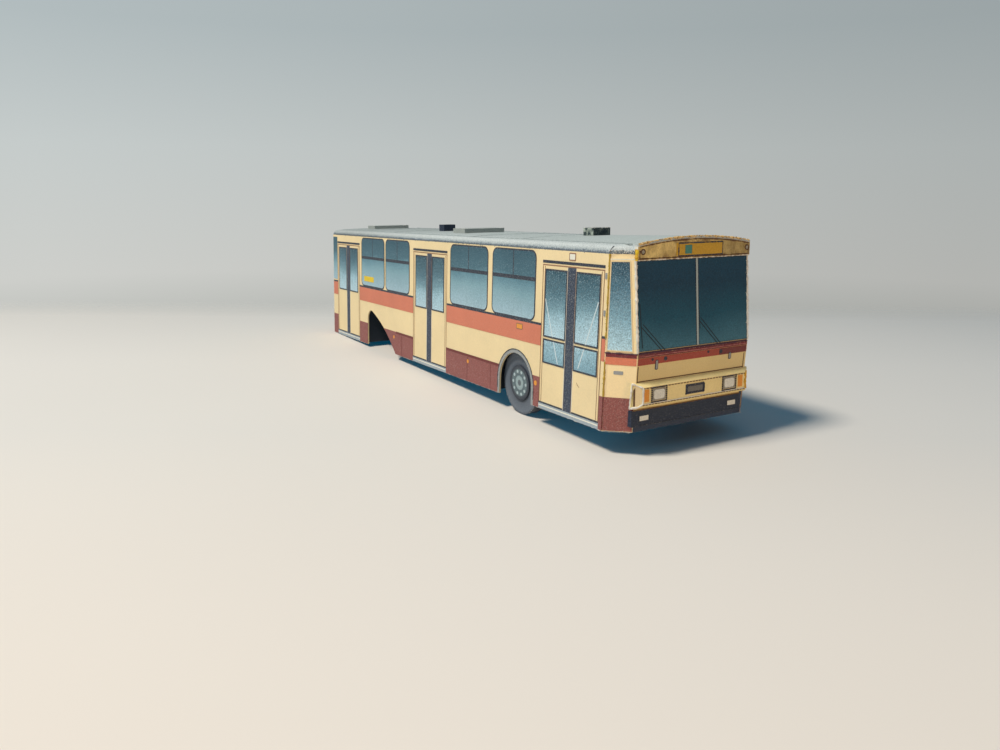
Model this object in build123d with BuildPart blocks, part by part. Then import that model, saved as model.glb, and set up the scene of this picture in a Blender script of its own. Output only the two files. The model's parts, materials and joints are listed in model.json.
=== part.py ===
"""Card model of a rigid two-axle trolleybus at 1:87: a folded and printed card body on one wheelset.

The body is drawn level, with X forward, Y to the left and height 0 at the lower edge of the skirt.
Stations are distances back from the fold in the front panel. With its rear wheels gone, the model
stands on its front wheels and the tail of its skirt, and it is set down that way at the end.
"""
from build123d import *
from math import asin, atan2, cos, degrees, hypot, radians, sin, tan
import os

os.makedirs("parts", exist_ok=True)

# ---------------------------------------------------------------- card and body
card = 0.3                 # one sheet of card
ink = 0.05                 # thickness given to a printed area
front_overhang = 29.75     # from the fold in the front panel to the front axle
wheelbase = 64.35
rear_overhang = 36.2       # from the rear axle to the rear panel
waist_width = 28.7         # over the side walls at the waist
waist_height = 12.2        # fold between windscreen and lower front panel
side_height = 27.0         # top edge of the side walls
side_lean = 2.3            # side walls lean in towards the roof, in degrees
windscreen_lean = 4.2      # windscreen leans back, in degrees
front_tuck = 4.0           # lower front panel tucks back towards the skirt, in degrees
front_half = 11.5          # half width of the front panel, the same at every height
front_corner_length = 4.2  # how far back a front corner panel reaches
rear_half = 11.0
rear_corner_length = 3.4

# ---------------------------------------------------------------- roof and header
cant_radius = 1.2          # rounding where the roof turns down to the walls
cant_slope = 20            # the turned-down flaps at the ends rise inwards, in degrees
roof_rise = 1.5            # crown of the arch over the top of the side walls
header_rise = 2.35         # the same at the front edge
roof_rise_length = 45      # the crown is level behind this station
header_drop = 0.9          # the header's foot below the top of the side walls
header_proud = 0.5         # the header's face ahead of the windscreen at its foot
header_thickness = 0.7

# ---------------------------------------------------------------- running gear
axle_height = 2.77
wheel_radius = 5.85
wheel_width = 2.2
wheel_recess = 1.2         # from the side wall's face in to the tyre's face
rim_radius = 3.2
rim_thickness = 0.25
axle_radius = 0.5
axle_play = 0.06           # running clearance round the axle
hanger_gap = 1.7           # from the wheel in to its hanger
hanger_length = 4.6
hanger_layers = 2
hanger_below_axle = 1.5
well_gap = 0.8             # over the wheel
well_end_gap = 1.05        # ahead of the wheel and behind it
well_foot = 0.3            # the wells stop this far above the skirt's edge
floor_height = 1.2

# ---------------------------------------------------------------- wheel arches
arch_radius = 5.45
arch_height = 2.9          # centre of the front arch
arch_lip = 0.65            # printed ring round the front arch
rear_arch_rise = 8.7
rear_arch_ahead = 10.4     # foot of the slanting front edge, ahead of the axle
rear_arch_behind = 7.3     # upright rear edge, behind the axle
rear_arch_top = 4.3        # highest point, behind the axle
rear_arch_turn = 2.2       # height of the rounded rear shoulder

# ---------------------------------------------------------------- front end fittings
lamp_panel_reach = 0.6     # the panel's face ahead of the fold above it
lamp_panel_half = 10.7     # half width of its face
lamp_panel_back_half = 12.0
lamp_panel_top = 7.8
lamp_panel_brow = 7.15     # front edge of its sloping top
lamp_panel_fold = 4.6      # fold above its lower lip
lamp_panel_foot = 3.8
lamp_panel_lip = 1.0       # the lower lip runs back this far
bumper_foot = 0.95
bumper_top = 3.5
bumper_set_back = 0.45     # the bumper's face behind the fold in the front panel
bumper_half = 11.45
bumper_shift = 0.65        # it is glued on off centre, towards the right
rear_bumper_depth = 0.6
rear_bumper_half = 10.5

# ---------------------------------------------------------------- print on the sides
sill_top = 0.95
skirt_print_top = 5.35
stripe_foot = 10.8
stripe_width = 3.45
band_width = 0.4           # black band over the stripe
gasket = 0.3
head_gap = 0.2             # card left over the window gaskets
glass_corner = 1.2
vent_height = 4.3
vent_bar = 0.7
print_gap = 0.1            # card left beside a fold
front_door = (5.1, 16.8, 1.0)      # station, width and leaf edge beside the glass
middle_door = (57.2, 16.6, 1.4)
rear_door_from_tail = 23.4
door_seal = 2.1            # width of the rubber strip between two leaves
door_seal_drop = 2.6       # its top below the top of the side wall
door_glass_drop = 3.25
door_glass_foot = 12.6
low_glass_foot = 8.15
low_glass_top = 12.05
door_bar_drop = 1.7        # dark bar over each door
door_bar = 0.45
bay_margin = 2.0           # card between a door and the window behind it
front_bay_window = 14.8    # first window of the front bay, and the second fills the bay
rear_bay_window = 13.9
front_bay_pillar = 1.6
rear_bay_pillar = 0.7
window_margin = 1.4        # card between a window and the door behind it

# ---------------------------------------------------------------- print on the ends
waist_line_drop = (0.05, 0.6)      # dark seam below the fold in the front panel
waist_band_drop = (0.65, 1.75)
windscreen_gap = 0.4               # between the fold and the glass over it
windscreen_divider = 0.35
divider_y = 0.55
corner_pillar = 0.75               # beside the windscreen
corner_glass_gap = 0.22
rear_glass_drop = 1.5

# ---------------------------------------------------------------- datum lines and planes
body_length = front_overhang + wheelbase + rear_overhang
nose = body_length / 2                  # X of the fold in the front panel
tail = -nose
front_axle_station = front_overhang
rear_axle_station = front_overhang + wheelbase
header_foot = side_height - header_drop
roof_edge = side_height                 # the roof's skin starts on top of the walls


def station(distance):
    """X of a point this far back from the fold in the front panel."""
    return nose - distance


def side_half(height):
    """Half width over the side walls at this height."""
    return waist_width / 2 + (waist_height - height) * tan(radians(side_lean))


def front_x(height):
    """X of the front panel's face at this height."""
    lean = windscreen_lean if height > waist_height else front_tuck
    return nose - abs(height - waist_height) * tan(radians(lean))


def right_folds(height):
    """Plan points of the right-hand side at this height: the ends of both corner panels."""
    half = side_half(height)
    return [Vector(front_x(height), -front_half, height),
            Vector(nose - front_corner_length, -half, height),
            Vector(tail + rear_corner_length, -half, height),
            Vector(tail, -rear_half, height)]


def mirrored(point):
    """The same point on the left-hand side."""
    return Vector(point.X, -point.Y, point.Z)


right_side = Plane(origin=(0, -side_half(0), 0), x_dir=(1, 0, 0),
                   z_dir=(0, -cos(radians(side_lean)), sin(radians(side_lean))))
windscreen = Plane(origin=(nose, 0, waist_height), x_dir=(0, 1, 0),
                   z_dir=(cos(radians(windscreen_lean)), 0, sin(radians(windscreen_lean))))
lower_front = Plane(origin=(nose, 0, waist_height), x_dir=(0, 1, 0),
                    z_dir=(cos(radians(front_tuck)), 0, -sin(radians(front_tuck))))
rear_end = Plane(origin=(tail, 0, 0), x_dir=(0, -1, 0), z_dir=(-1, 0, 0))

# ---------------------------------------------------------------- body form


def body_shape(inset):
    """Solid between the faces of the body, set in all round: level sections joined by ruled faces."""
    with BuildPart() as shape:
        for height in (0, waist_height, side_height):
            with BuildSketch(Plane.XY.offset(height)):
                with BuildLine():
                    right = right_folds(height)
                    left = [mirrored(point) for point in reversed(right)]
                    Polyline(*[(point.X, point.Y) for point in right + left], close=True)
                make_face()
                if inset:
                    offset(amount=-inset, kind=Kind.INTERSECTION)
        loft(ruled=True)
    return shape.part


body_form = body_shape(0)
cavity = body_shape(card)

with BuildPart() as walls:
    add(body_form)
    add(cavity, mode=Mode.SUBTRACT)

# ---------------------------------------------------------------- side walls


def front_arch(radius):
    """Front wheel arch: a half round above its centre, straight down to below the skirt."""
    with BuildSketch() as arch:
        with Locations((station(front_axle_station), arch_height)):
            Circle(radius)
        with Locations((station(front_axle_station), 0)):
            Rectangle(2 * radius, 2 * arch_height)
    return arch.sketch


def rear_arch():
    """Rear wheel arch: upright behind, round over the top, with a long slanting front edge."""
    rear = station(rear_axle_station + rear_arch_behind)
    top = station(rear_axle_station + rear_arch_top)
    front = station(rear_axle_station - rear_arch_ahead)
    shoulder = rear_arch_rise - rear_arch_turn
    middle = ((top + front) / 2, rear_arch_rise / 2 + rear_arch_turn / 2)
    with BuildSketch() as arch:
        with BuildLine():
            Polyline((front, 0), (front, -shoulder), (rear, -shoulder), (rear, shoulder))
            TangentArc((rear, shoulder), (top, rear_arch_rise), tangent=(0, 1))
            ThreePointArc((top, rear_arch_rise), middle, (front, 0))
        make_face()
    return arch.sketch


with BuildPart() as side_wall_right:
    add(body_form)
    split(bisect_by=right_side.offset(-card), keep=Keep.TOP)
    with BuildSketch(right_side):
        add(front_arch(arch_radius))
        add(rear_arch())
    extrude(amount=-2 * card, mode=Mode.SUBTRACT)

with BuildPart() as side_wall_left:
    add(side_wall_right.part)
    mirror(about=Plane.XZ, mode=Mode.REPLACE)

# ---------------------------------------------------------------- corner, front and rear panels


def end_box(half, foot, top):
    """Tall block across the middle of the body, as wide as an end panel."""
    with BuildPart() as block:
        with BuildSketch(Plane.XY.offset(foot)):
            Rectangle(2 * body_length, 2 * half)
        extrude(amount=top - foot)
    return block.part


def corner_panel(half, keep):
    """Right-hand corner panel at one end, its long edge lapped under the side wall."""
    with BuildPart() as panel:
        add(walls.part)
        split(bisect_by=Plane.YZ, keep=keep)
        split(bisect_by=right_side.offset(-card), keep=Keep.BOTTOM)
        split(bisect_by=Plane.XZ.offset(half), keep=Keep.TOP)
    return panel.part


with BuildPart() as front_corner_right:
    add(corner_panel(front_half, Keep.TOP))

with BuildPart() as front_corner_left:
    add(front_corner_right.part)
    mirror(about=Plane.XZ, mode=Mode.REPLACE)

with BuildPart() as rear_corner_right:
    add(corner_panel(rear_half, Keep.BOTTOM))

with BuildPart() as rear_corner_left:
    add(rear_corner_right.part)
    mirror(about=Plane.XZ, mode=Mode.REPLACE)

with BuildPart() as front_panel:
    add(walls.part)
    split(bisect_by=Plane.YZ, keep=Keep.TOP)
    add(end_box(front_half, bumper_foot, header_foot), mode=Mode.INTERSECT)

with BuildPart() as rear_panel:
    add(walls.part)
    split(bisect_by=Plane.YZ, keep=Keep.BOTTOM)
    add(end_box(rear_half, 0, side_height), mode=Mode.INTERSECT)

# ---------------------------------------------------------------- roof and header
header_face = front_x(header_foot) + header_proud
header_back = header_face - header_thickness


def arch_section(rise, inset):
    """Cross-section of the roof, set in all round: a low arch with a round turn at each cant."""
    half = side_half(side_height) - inset
    radius = cant_radius - inset
    cant_top = roof_edge + radius
    crown = (0, roof_edge + rise - inset)
    with BuildSketch() as section:
        with BuildLine():
            Polyline((-half, roof_edge), (-half, header_foot), (half, header_foot), (half, roof_edge))
            RadiusArc((half, roof_edge), (half - radius, cant_top), -radius)
            ThreePointArc((half - radius, cant_top), crown, (radius - half, cant_top))
            RadiusArc((radius - half, cant_top), (-half, roof_edge), -radius)
        make_face()
    return section.sketch


def arch_form(inset):
    """Solid under the roof, set in all round, from the rear panel to the header's face."""
    with BuildPart() as form:
        crown_end = station(roof_rise_length)
        for x, rise in ((tail, roof_rise), (crown_end, roof_rise), (header_face, header_rise)):
            with BuildSketch(Plane.YZ.offset(x)):
                add(arch_section(rise, inset))
        loft(ruled=True)
    return form.part


def turned_down(fold, other, inset):
    """Everything inside a roof edge between two folds, its upper corner rounded over."""
    along = (other - fold).normalized()
    outward = along.cross(Vector(0, 0, 1))
    if outward.dot(fold) < 0:
        outward = -outward
    radius = cant_radius - inset
    depth = 2 * body_length
    ridge = radius + (depth - cant_radius) * tan(radians(cant_slope))
    section = Plane(origin=fold, x_dir=outward, z_dir=outward.cross(Vector(0, 0, 1)))
    with BuildPart() as inside:
        with BuildSketch(section):
            with BuildLine():
                RadiusArc((-inset, 0), (-cant_radius, radius), -radius)
                Polyline((-cant_radius, radius), (-depth, ridge), (-depth, -side_height),
                         (-inset, -side_height), (-inset, 0))
            make_face()
        extrude(amount=depth, both=True)
    return inside.part


def roof_form(inset):
    """Outside of the roof, set in all round: the arch with its ends and corners turned down."""
    right = right_folds(roof_edge)
    with BuildPart() as form:
        add(arch_form(inset))
        for fold, other in ((right[0], right[1]), (right[2], right[3]), (right[3], mirrored(right[3]))):
            add(turned_down(fold, other, inset), mode=Mode.INTERSECT)
        for fold, other in ((right[0], right[1]), (right[2], right[3])):
            add(turned_down(mirrored(fold), mirrored(other), inset), mode=Mode.INTERSECT)
    return form.part


with BuildPart() as header_space:
    with BuildSketch(Plane.YZ.offset(header_back)):
        with Locations((0, header_foot + side_height)):
            Rectangle(2 * front_half, 2 * side_height)
    extrude(amount=header_thickness)

with BuildPart() as roof_lip:
    add(header_space.part)
    add(arch_form(0), mode=Mode.INTERSECT)
    add(arch_form(card), mode=Mode.SUBTRACT)

with BuildPart() as roof:
    add(roof_form(0))
    add(roof_form(card), mode=Mode.SUBTRACT)
    split(bisect_by=Plane.XY.offset(roof_edge), keep=Keep.TOP)
    add(header_space.part, mode=Mode.SUBTRACT)
    add(roof_lip.part)

with BuildPart() as front_header:
    add(header_space.part)
    add(arch_form(card), mode=Mode.INTERSECT)

# ---------------------------------------------------------------- wheel wells and floor
well_top = axle_height + wheel_radius + well_gap
front_well_reach = wheel_radius + well_end_gap
front_well = (front_axle_station - front_well_reach, front_axle_station + front_well_reach)
rear_well_front = rear_axle_station - rear_arch_ahead - well_foot
rear_well = (rear_well_front, rear_axle_station + rear_arch_behind + well_foot)


def wheel_well(front, rear):
    """Folded strip across the body: front wall, top and rear wall, open below and at the arches."""
    with BuildPart() as well:
        with BuildSketch(Plane.XZ):
            with Locations((station((front + rear) / 2), (well_foot + well_top + card) / 2)):
                Rectangle(rear - front + 2 * card, well_top + card - well_foot)
            with Locations((station((front + rear) / 2), 0)):
                Rectangle(rear - front, 2 * well_top, mode=Mode.SUBTRACT)
        extrude(amount=waist_width, both=True)
        add(cavity, mode=Mode.INTERSECT)
    return well.part


with BuildPart() as front_wheel_well:
    add(wheel_well(*front_well))

with BuildPart() as rear_wheel_well:
    add(wheel_well(*rear_well))


def floor_board(front, rear):
    """Piece of floor between two stations, trimmed to the inside of the walls."""
    with BuildPart() as board:
        with BuildSketch(Plane.XY.offset(floor_height)):
            with Locations((station((front + rear) / 2), 0)):
                Rectangle(rear - front, 2 * waist_width)
        extrude(amount=card)
        add(cavity, mode=Mode.INTERSECT)
    return board.part


with BuildPart() as floor_front:
    add(floor_board(0, front_well[0] - card))

with BuildPart() as floor_middle:
    add(floor_board(front_well[1] + card, rear_well[0] - card))

with BuildPart() as floor_rear:
    add(floor_board(rear_well[1] + card, body_length))

# ---------------------------------------------------------------- axle hangers
tyre_face_y = side_half(axle_height) - wheel_recess
hanger_y = tyre_face_y - wheel_width - hanger_gap


def axle_hanger(distance):
    """Right-hand hanger of doubled card under the well's top, with the axle's hole."""
    foot = axle_height - hanger_below_axle
    with BuildPart() as hanger:
        with BuildSketch(Plane.XZ.offset(hanger_y)):
            with Locations((station(distance), (foot + well_top) / 2)):
                Rectangle(hanger_length, well_top - foot)
            with Locations((station(distance), axle_height)):
                Circle(axle_radius + axle_play, mode=Mode.SUBTRACT)
        extrude(amount=-hanger_layers * card)
    return hanger.part


with BuildPart() as front_bracket_right:
    add(axle_hanger(front_axle_station))

with BuildPart() as front_bracket_left:
    add(front_bracket_right.part)
    mirror(about=Plane.XZ, mode=Mode.REPLACE)

with BuildPart() as rear_bracket_right:
    add(axle_hanger(rear_axle_station))

with BuildPart() as rear_bracket_left:
    add(rear_bracket_right.part)
    mirror(about=Plane.XZ, mode=Mode.REPLACE)

# ---------------------------------------------------------------- front wheelset
axle_point = (station(front_axle_station), axle_height)

with BuildPart() as front_axle:
    with BuildSketch(Plane.XZ):
        with Locations(axle_point):
            Circle(axle_radius)
    extrude(amount=tyre_face_y - wheel_width, both=True)

with BuildPart() as front_wheel_right:
    with BuildSketch(Plane.XZ.offset(tyre_face_y)):
        with Locations(axle_point):
            Circle(wheel_radius)
    extrude(amount=-wheel_width)

with BuildPart() as front_wheel_left:
    add(front_wheel_right.part)
    mirror(about=Plane.XZ, mode=Mode.REPLACE)

with BuildPart() as front_rim_right:
    with BuildSketch(Plane.XZ.offset(tyre_face_y)):
        with Locations(axle_point):
            Circle(rim_radius)
    extrude(amount=rim_thickness)

with BuildPart() as front_rim_left:
    add(front_rim_right.part)
    mirror(about=Plane.XZ, mode=Mode.REPLACE)

# ---------------------------------------------------------------- lamp panel and bumpers
lamp_face_x = nose + lamp_panel_reach

with BuildPart() as lamp_panel:
    with BuildSketch(Plane.XZ.offset(-lamp_panel_back_half)):
        with BuildLine():
            back = nose - front_corner_length
            brow_back = front_x(lamp_panel_top)
            Polyline((back, lamp_panel_foot), (lamp_face_x - lamp_panel_lip, lamp_panel_foot),
                     (lamp_face_x, lamp_panel_fold), (lamp_face_x, lamp_panel_brow),
                     (brow_back, lamp_panel_top), (back, lamp_panel_top), close=True)
        make_face()
    extrude(amount=2 * lamp_panel_back_half)
    with BuildSketch(Plane.XY):
        with BuildLine():
            Polyline((back, -lamp_panel_back_half), (brow_back, -lamp_panel_back_half),
                     (lamp_face_x, -lamp_panel_half), (lamp_face_x, lamp_panel_half),
                     (brow_back, lamp_panel_back_half), (back, lamp_panel_back_half), close=True)
        make_face()
    extrude(amount=side_height, mode=Mode.INTERSECT)
    add(body_form, mode=Mode.SUBTRACT)


def bumper(face_x, depth, half, middle):
    """Strip across one end, following the faces of the body behind it."""
    with BuildPart() as strip:
        with BuildSketch(Plane.XY.offset(bumper_foot)):
            with Locations((face_x - depth / 2, middle)):
                Rectangle(abs(depth), 2 * half)
        extrude(amount=bumper_top - bumper_foot)
        add(body_form, mode=Mode.SUBTRACT)
    return strip.part


with BuildPart() as front_bumper:
    add(bumper(nose - bumper_set_back, front_corner_length, bumper_half, -bumper_shift))

with BuildPart() as rear_bumper:
    add(bumper(tail - rear_bumper_depth, -rear_corner_length, rear_bumper_half, 0))

# ---------------------------------------------------------------- roof fittings
arch_outside = arch_form(0)


def roof_box(front, length, width, height):
    """Folded box standing on the roof, its foot cut to the roof's arch."""
    rise = roof_rise + max(0, 1 - front / roof_rise_length) * (header_rise - roof_rise)
    with BuildPart() as box:
        with BuildSketch(Plane.XY.offset(roof_edge)):
            with Locations((station(front + length / 2), 0)):
                Rectangle(length, width)
        extrude(amount=rise + height)
        add(arch_outside, mode=Mode.SUBTRACT)
    return box.part


vent_box = (24.0, 3.0, 3.7, 1.3)          # station, length, width and height of each box
plinth_box = (66.0, 5.5, 10.0, 0.9)
pole_box = (83.0, 2.6, 3.0, 1.5)
rear_box_from_tail = 12.3
rear_box = (body_length - rear_box_from_tail, 5.0, 10.0, 0.8)

with BuildPart() as roof_vent:
    add(roof_box(*vent_box))

with BuildPart() as pole_plinth:
    add(roof_box(*plinth_box))

with BuildPart() as pole_base:
    add(roof_box(*pole_box))

with BuildPart() as rear_roof_box:
    add(roof_box(*rear_box))

# ---------------------------------------------------------------- layout of doors and windows
side_front = front_corner_length + print_gap
side_rear = body_length - rear_corner_length - print_gap
rear_door = (body_length - rear_door_from_tail, *middle_door[1:])
doors = (front_door, middle_door, rear_door)
door_spans = [(front, front + width) for front, width, edge in doors]


def bay(door, next_door, first_window, pillar):
    """Two windows in the bay between two doors: the second fills what is left."""
    start = door[1] + bay_margin
    split_at = start + first_window
    return [(start, split_at), (split_at + pillar, next_door[0] - window_margin)]


right_windows = (bay(door_spans[0], door_spans[1], front_bay_window, front_bay_pillar)
                 + bay(door_spans[1], door_spans[2], rear_bay_window, rear_bay_pillar))
left_windows = right_windows + [(front + window_margin, rear) for front, rear in door_spans]
gaps = [(side_front, door_spans[0][0]), (door_spans[0][1], door_spans[1][0]),
        (door_spans[1][1], door_spans[2][0]), (door_spans[2][1], side_rear)]
stripe_top = stripe_foot + stripe_width
band_top = stripe_top + band_width
glass_foot = band_top + gasket
glass_head = side_height - head_gap - gasket
vent_bar_top = glass_head - vent_height

# ---------------------------------------------------------------- print on the side walls


def band(spans, foot, top):
    """Bands between two heights, one for each pair of stations."""
    with BuildSketch() as bands:
        for front, rear in spans:
            with Locations((station((front + rear) / 2), (foot + top) / 2)):
                Rectangle(rear - front, top - foot)
    return bands.sketch


def window_panes(windows):
    """Rounded panes inside their gaskets."""
    with BuildSketch() as panes:
        for front, rear in windows:
            with Locations((station((front + rear) / 2), (glass_foot + glass_head) / 2)):
                RectangleRounded(rear - front - 2 * gasket, glass_head - glass_foot, glass_corner)
    return panes.sketch


def window_bars(windows):
    """Gaskets, the bar under the sliding vents and the divider between the vents."""
    with BuildSketch() as bars:
        for front, rear in windows:
            with Locations((station((front + rear) / 2), (glass_foot + glass_head) / 2)):
                RectangleRounded(rear - front, glass_head - glass_foot + 2 * gasket, glass_corner + gasket)
        add(window_panes(windows), mode=Mode.SUBTRACT)
        for front, rear in windows:
            middle = station((front + rear) / 2)
            with Locations((middle, vent_bar_top - vent_bar / 2)):
                Rectangle(rear - front - gasket, vent_bar)
            with Locations((middle, (vent_bar_top + glass_head) / 2)):
                Rectangle(gasket, glass_head - vent_bar_top + gasket)
    return bars.sketch


def door_panes():
    """Upper panes of every leaf, and the low panes of the front door."""
    with BuildSketch() as panes:
        for front, width, edge in doors:
            pane = (width - door_seal) / 2 - edge - gasket
            reach = door_seal / 2 + gasket + pane / 2
            glass = [(door_glass_foot, side_height - door_glass_drop)]
            if front == front_door[0]:
                glass.append((low_glass_foot, low_glass_top))
            for foot, top in glass:
                with Locations((station(front + width / 2), (foot + top) / 2)):
                    with GridLocations(2 * reach, 0, 2, 1):
                        Rectangle(pane, top - foot)
    return panes.sketch


def door_trim():
    """Rubber strip between the two leaves of each door, and the bar over the door."""
    with BuildSketch() as trim:
        for front, width, edge in doors:
            middle = front + width / 2
            seal = (middle - door_seal / 2, middle + door_seal / 2)
            add(band([seal], sill_top, side_height - door_seal_drop))
        add(band(door_spans, side_height - door_bar_drop - door_bar, side_height - door_bar_drop))
    return trim.sketch


def arch_ring():
    """Printed lip round the front wheel arch."""
    with BuildSketch() as ring:
        add(front_arch(arch_radius + arch_lip))
        add(front_arch(arch_radius), mode=Mode.SUBTRACT)
        with Locations((0, -side_height / 2)):
            Rectangle(body_length, side_height, mode=Mode.SUBTRACT)
    return ring.sketch


def skirt_print(spans):
    """Dark skirt panels between these stations, stopping at the wheel arches."""
    with BuildSketch() as skirt:
        add(band(spans, 0, skirt_print_top))
        add(front_arch(arch_radius + arch_lip), mode=Mode.SUBTRACT)
        add(rear_arch(), mode=Mode.SUBTRACT)
    return skirt.sketch


whole_side = [(side_front, side_rear)]

with BuildPart() as right_glass:
    with BuildSketch(right_side):
        add(window_panes(right_windows))
        add(window_bars(right_windows), mode=Mode.SUBTRACT)
        add(door_panes())
    extrude(amount=ink)

with BuildPart() as left_glass:
    with BuildSketch(right_side):
        add(window_panes(left_windows))
        add(window_bars(left_windows), mode=Mode.SUBTRACT)
    extrude(amount=ink)
    mirror(about=Plane.XZ, mode=Mode.REPLACE)

with BuildPart() as right_gaskets:
    with BuildSketch(right_side):
        add(window_bars(right_windows))
        add(band(gaps, stripe_top, band_top))
        add(door_trim())
    extrude(amount=ink)

with BuildPart() as left_gaskets:
    with BuildSketch(right_side):
        add(window_bars(left_windows))
        add(band(whole_side, stripe_top, band_top))
    extrude(amount=ink)
    mirror(about=Plane.XZ, mode=Mode.REPLACE)

with BuildPart() as right_stripe:
    with BuildSketch(right_side):
        add(band(gaps, stripe_foot, stripe_top))
    extrude(amount=ink)

with BuildPart() as left_stripe:
    with BuildSketch(right_side):
        add(band(whole_side, stripe_foot, stripe_top))
    extrude(amount=ink)
    mirror(about=Plane.XZ, mode=Mode.REPLACE)

with BuildPart() as right_skirt_print:
    with BuildSketch(right_side):
        add(skirt_print(gaps))
    extrude(amount=ink)

with BuildPart() as left_skirt_print:
    with BuildSketch(right_side):
        add(skirt_print(whole_side))
    extrude(amount=ink)
    mirror(about=Plane.XZ, mode=Mode.REPLACE)

with BuildPart() as arch_lips:
    with BuildSketch(right_side):
        add(arch_ring())
    extrude(amount=ink)
    mirror(about=Plane.XZ)

with BuildPart() as door_sills:
    with BuildSketch(right_side):
        add(band(door_spans, 0, sill_top))
    extrude(amount=ink)

# ---------------------------------------------------------------- print on the corner panels
with BuildPart() as ink_layer:
    add(body_shape(-ink))
    add(body_form, mode=Mode.SUBTRACT)


def front_corner(height):
    """Folds of the right front corner panel, the front panel's first."""
    return right_folds(height)[:2]


def rear_corner(height):
    """Folds of the right rear corner panel, the rear panel's first."""
    return right_folds(height)[:1:-1]


def corner_plane(corner_folds):
    """Upright plane through both folds of a right-hand corner panel at the skirt, its Y the height."""
    end_fold, side_fold = corner_folds(0)
    up = Vector(0, 0, 1)
    outward = (end_fold - side_fold).cross(up)
    if outward.dot(side_fold) < 0:
        outward = -outward
    return Plane(origin=side_fold, x_dir=up.cross(outward), z_dir=outward)


def corner_print(corner_folds, levels, end_gap, side_gap):
    """Print on a right-hand corner panel: from the first level up to the last, clear of both folds."""
    plane = corner_plane(corner_folds)
    end_edge, side_edge = [], []
    for height in levels:
        end_fold, side_fold = [plane.to_local_coords(fold).X for fold in corner_folds(height)]
        inwards = 1 if end_fold < side_fold else -1
        end_edge.append((end_fold + inwards * end_gap, height))
        side_edge.append((side_fold - inwards * side_gap, height))
    with BuildPart() as area:
        with BuildSketch(plane):
            with BuildLine():
                Polyline(*side_edge, *reversed(end_edge), close=True)
            make_face()
        extrude(amount=rear_corner_length / 2, both=True)
        add(ink_layer.part, mode=Mode.INTERSECT)
    return area.part


def corner_band(corner_folds, foot, top):
    """Straight-ended band across a right-hand corner panel between two heights."""
    plane = corner_plane(corner_folds)
    end_fold, side_fold = [plane.to_local_coords(fold).X for fold in corner_folds(foot)]
    with BuildPart() as strip:
        with BuildSketch(plane):
            with Locations(((end_fold + side_fold) / 2, (foot + top) / 2)):
                Rectangle(abs(end_fold - side_fold) - 2 * print_gap, top - foot)
        extrude(amount=rear_corner_length / 2, both=True)
        add(ink_layer.part, mode=Mode.INTERSECT)
    return strip.part


waist_line_top, waist_line_foot = [waist_height - drop for drop in waist_line_drop]
waist_band_top, waist_band_foot = [waist_height - drop for drop in waist_band_drop]
windscreen_foot = waist_height + windscreen_gap
front_pane = (windscreen_foot, header_foot - print_gap)

with BuildPart() as corner_panes:
    add(corner_print(front_corner, front_pane, corner_pillar, corner_glass_gap))
    add(corner_print(rear_corner, (glass_foot, glass_head), corner_glass_gap, corner_glass_gap))
    mirror(about=Plane.XZ)

with BuildPart() as corner_bands:
    add(corner_band(front_corner, waist_band_foot, waist_band_top))
    add(corner_band(rear_corner, stripe_foot, stripe_top))
    mirror(about=Plane.XZ)
    with BuildSketch(rear_end):
        with Locations((0, (stripe_foot + stripe_top) / 2)):
            Rectangle(2 * (rear_half - print_gap), stripe_width)
    extrude(amount=ink)

with BuildPart() as corner_skirts:
    add(corner_print(front_corner, (print_gap, skirt_print_top), print_gap, print_gap))
    add(corner_print(rear_corner, (print_gap, skirt_print_top), print_gap, print_gap))
    add(front_bumper.part, mode=Mode.SUBTRACT)
    add(rear_bumper.part, mode=Mode.SUBTRACT)
    add(lamp_panel.part, mode=Mode.SUBTRACT)
    mirror(about=Plane.XZ)

# ---------------------------------------------------------------- print on the front and rear
front_print_half = front_half - print_gap


def front_band(top, foot):
    """Band across the lower front panel between two heights."""
    with BuildSketch() as strip:
        with Locations((0, (top + foot) / 2 - waist_height)):
            Rectangle(2 * front_print_half, top - foot)
    return strip.sketch


with BuildPart() as windscreen_panes:
    with BuildSketch(windscreen):
        head = (header_foot - waist_height) / cos(radians(windscreen_lean)) - print_gap
        with Locations((0, (head + windscreen_gap) / 2)):
            Rectangle(2 * front_print_half, head - windscreen_gap)
        with Locations((divider_y, head / 2)):
            Rectangle(windscreen_divider, 2 * head, mode=Mode.SUBTRACT)
    extrude(amount=ink)

with BuildPart() as rear_pane:
    with BuildSketch(rear_end):
        with Locations((0, (glass_foot + side_height - rear_glass_drop) / 2)):
            RectangleRounded(2 * (rear_half - corner_pillar), side_height - rear_glass_drop - glass_foot,
                             glass_corner)
    extrude(amount=ink)

with BuildPart() as waist_line:
    add(corner_band(front_corner, waist_line_foot, waist_line_top))
    mirror(about=Plane.XZ)
    with BuildSketch(lower_front):
        add(front_band(waist_line_top, waist_line_foot))
    extrude(amount=ink)

with BuildPart() as waist_band:
    with BuildSketch(lower_front):
        add(front_band(waist_band_top, waist_band_foot))
    extrude(amount=ink)

# ---------------------------------------------------------------- print on the lamp panel and header
lamp_face = Plane(origin=(lamp_face_x, 0, 0), x_dir=(0, 1, 0), z_dir=(1, 0, 0))
lamp_middle = (lamp_panel_fold + lamp_panel_brow) / 2
lamp_height = 1.9
front_print_shift = 0.25                # the front's print lies this far to the right
headlamp = (7.4, 2.6)                   # distance from the middle, and width
turn_lamp = (9.9, 1.0)
plate_size = (3.7, 1.3)
sign_size = (9.0, 1.85)
sign_y = 0.4


def lamp_pair(reach, width):
    """Two equal lamps on the lamp panel."""
    with BuildSketch() as pair:
        with Locations((-front_print_shift, lamp_middle)):
            with GridLocations(2 * reach, 0, 2, 1):
                Rectangle(width, lamp_height)
    return pair.sketch


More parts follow.
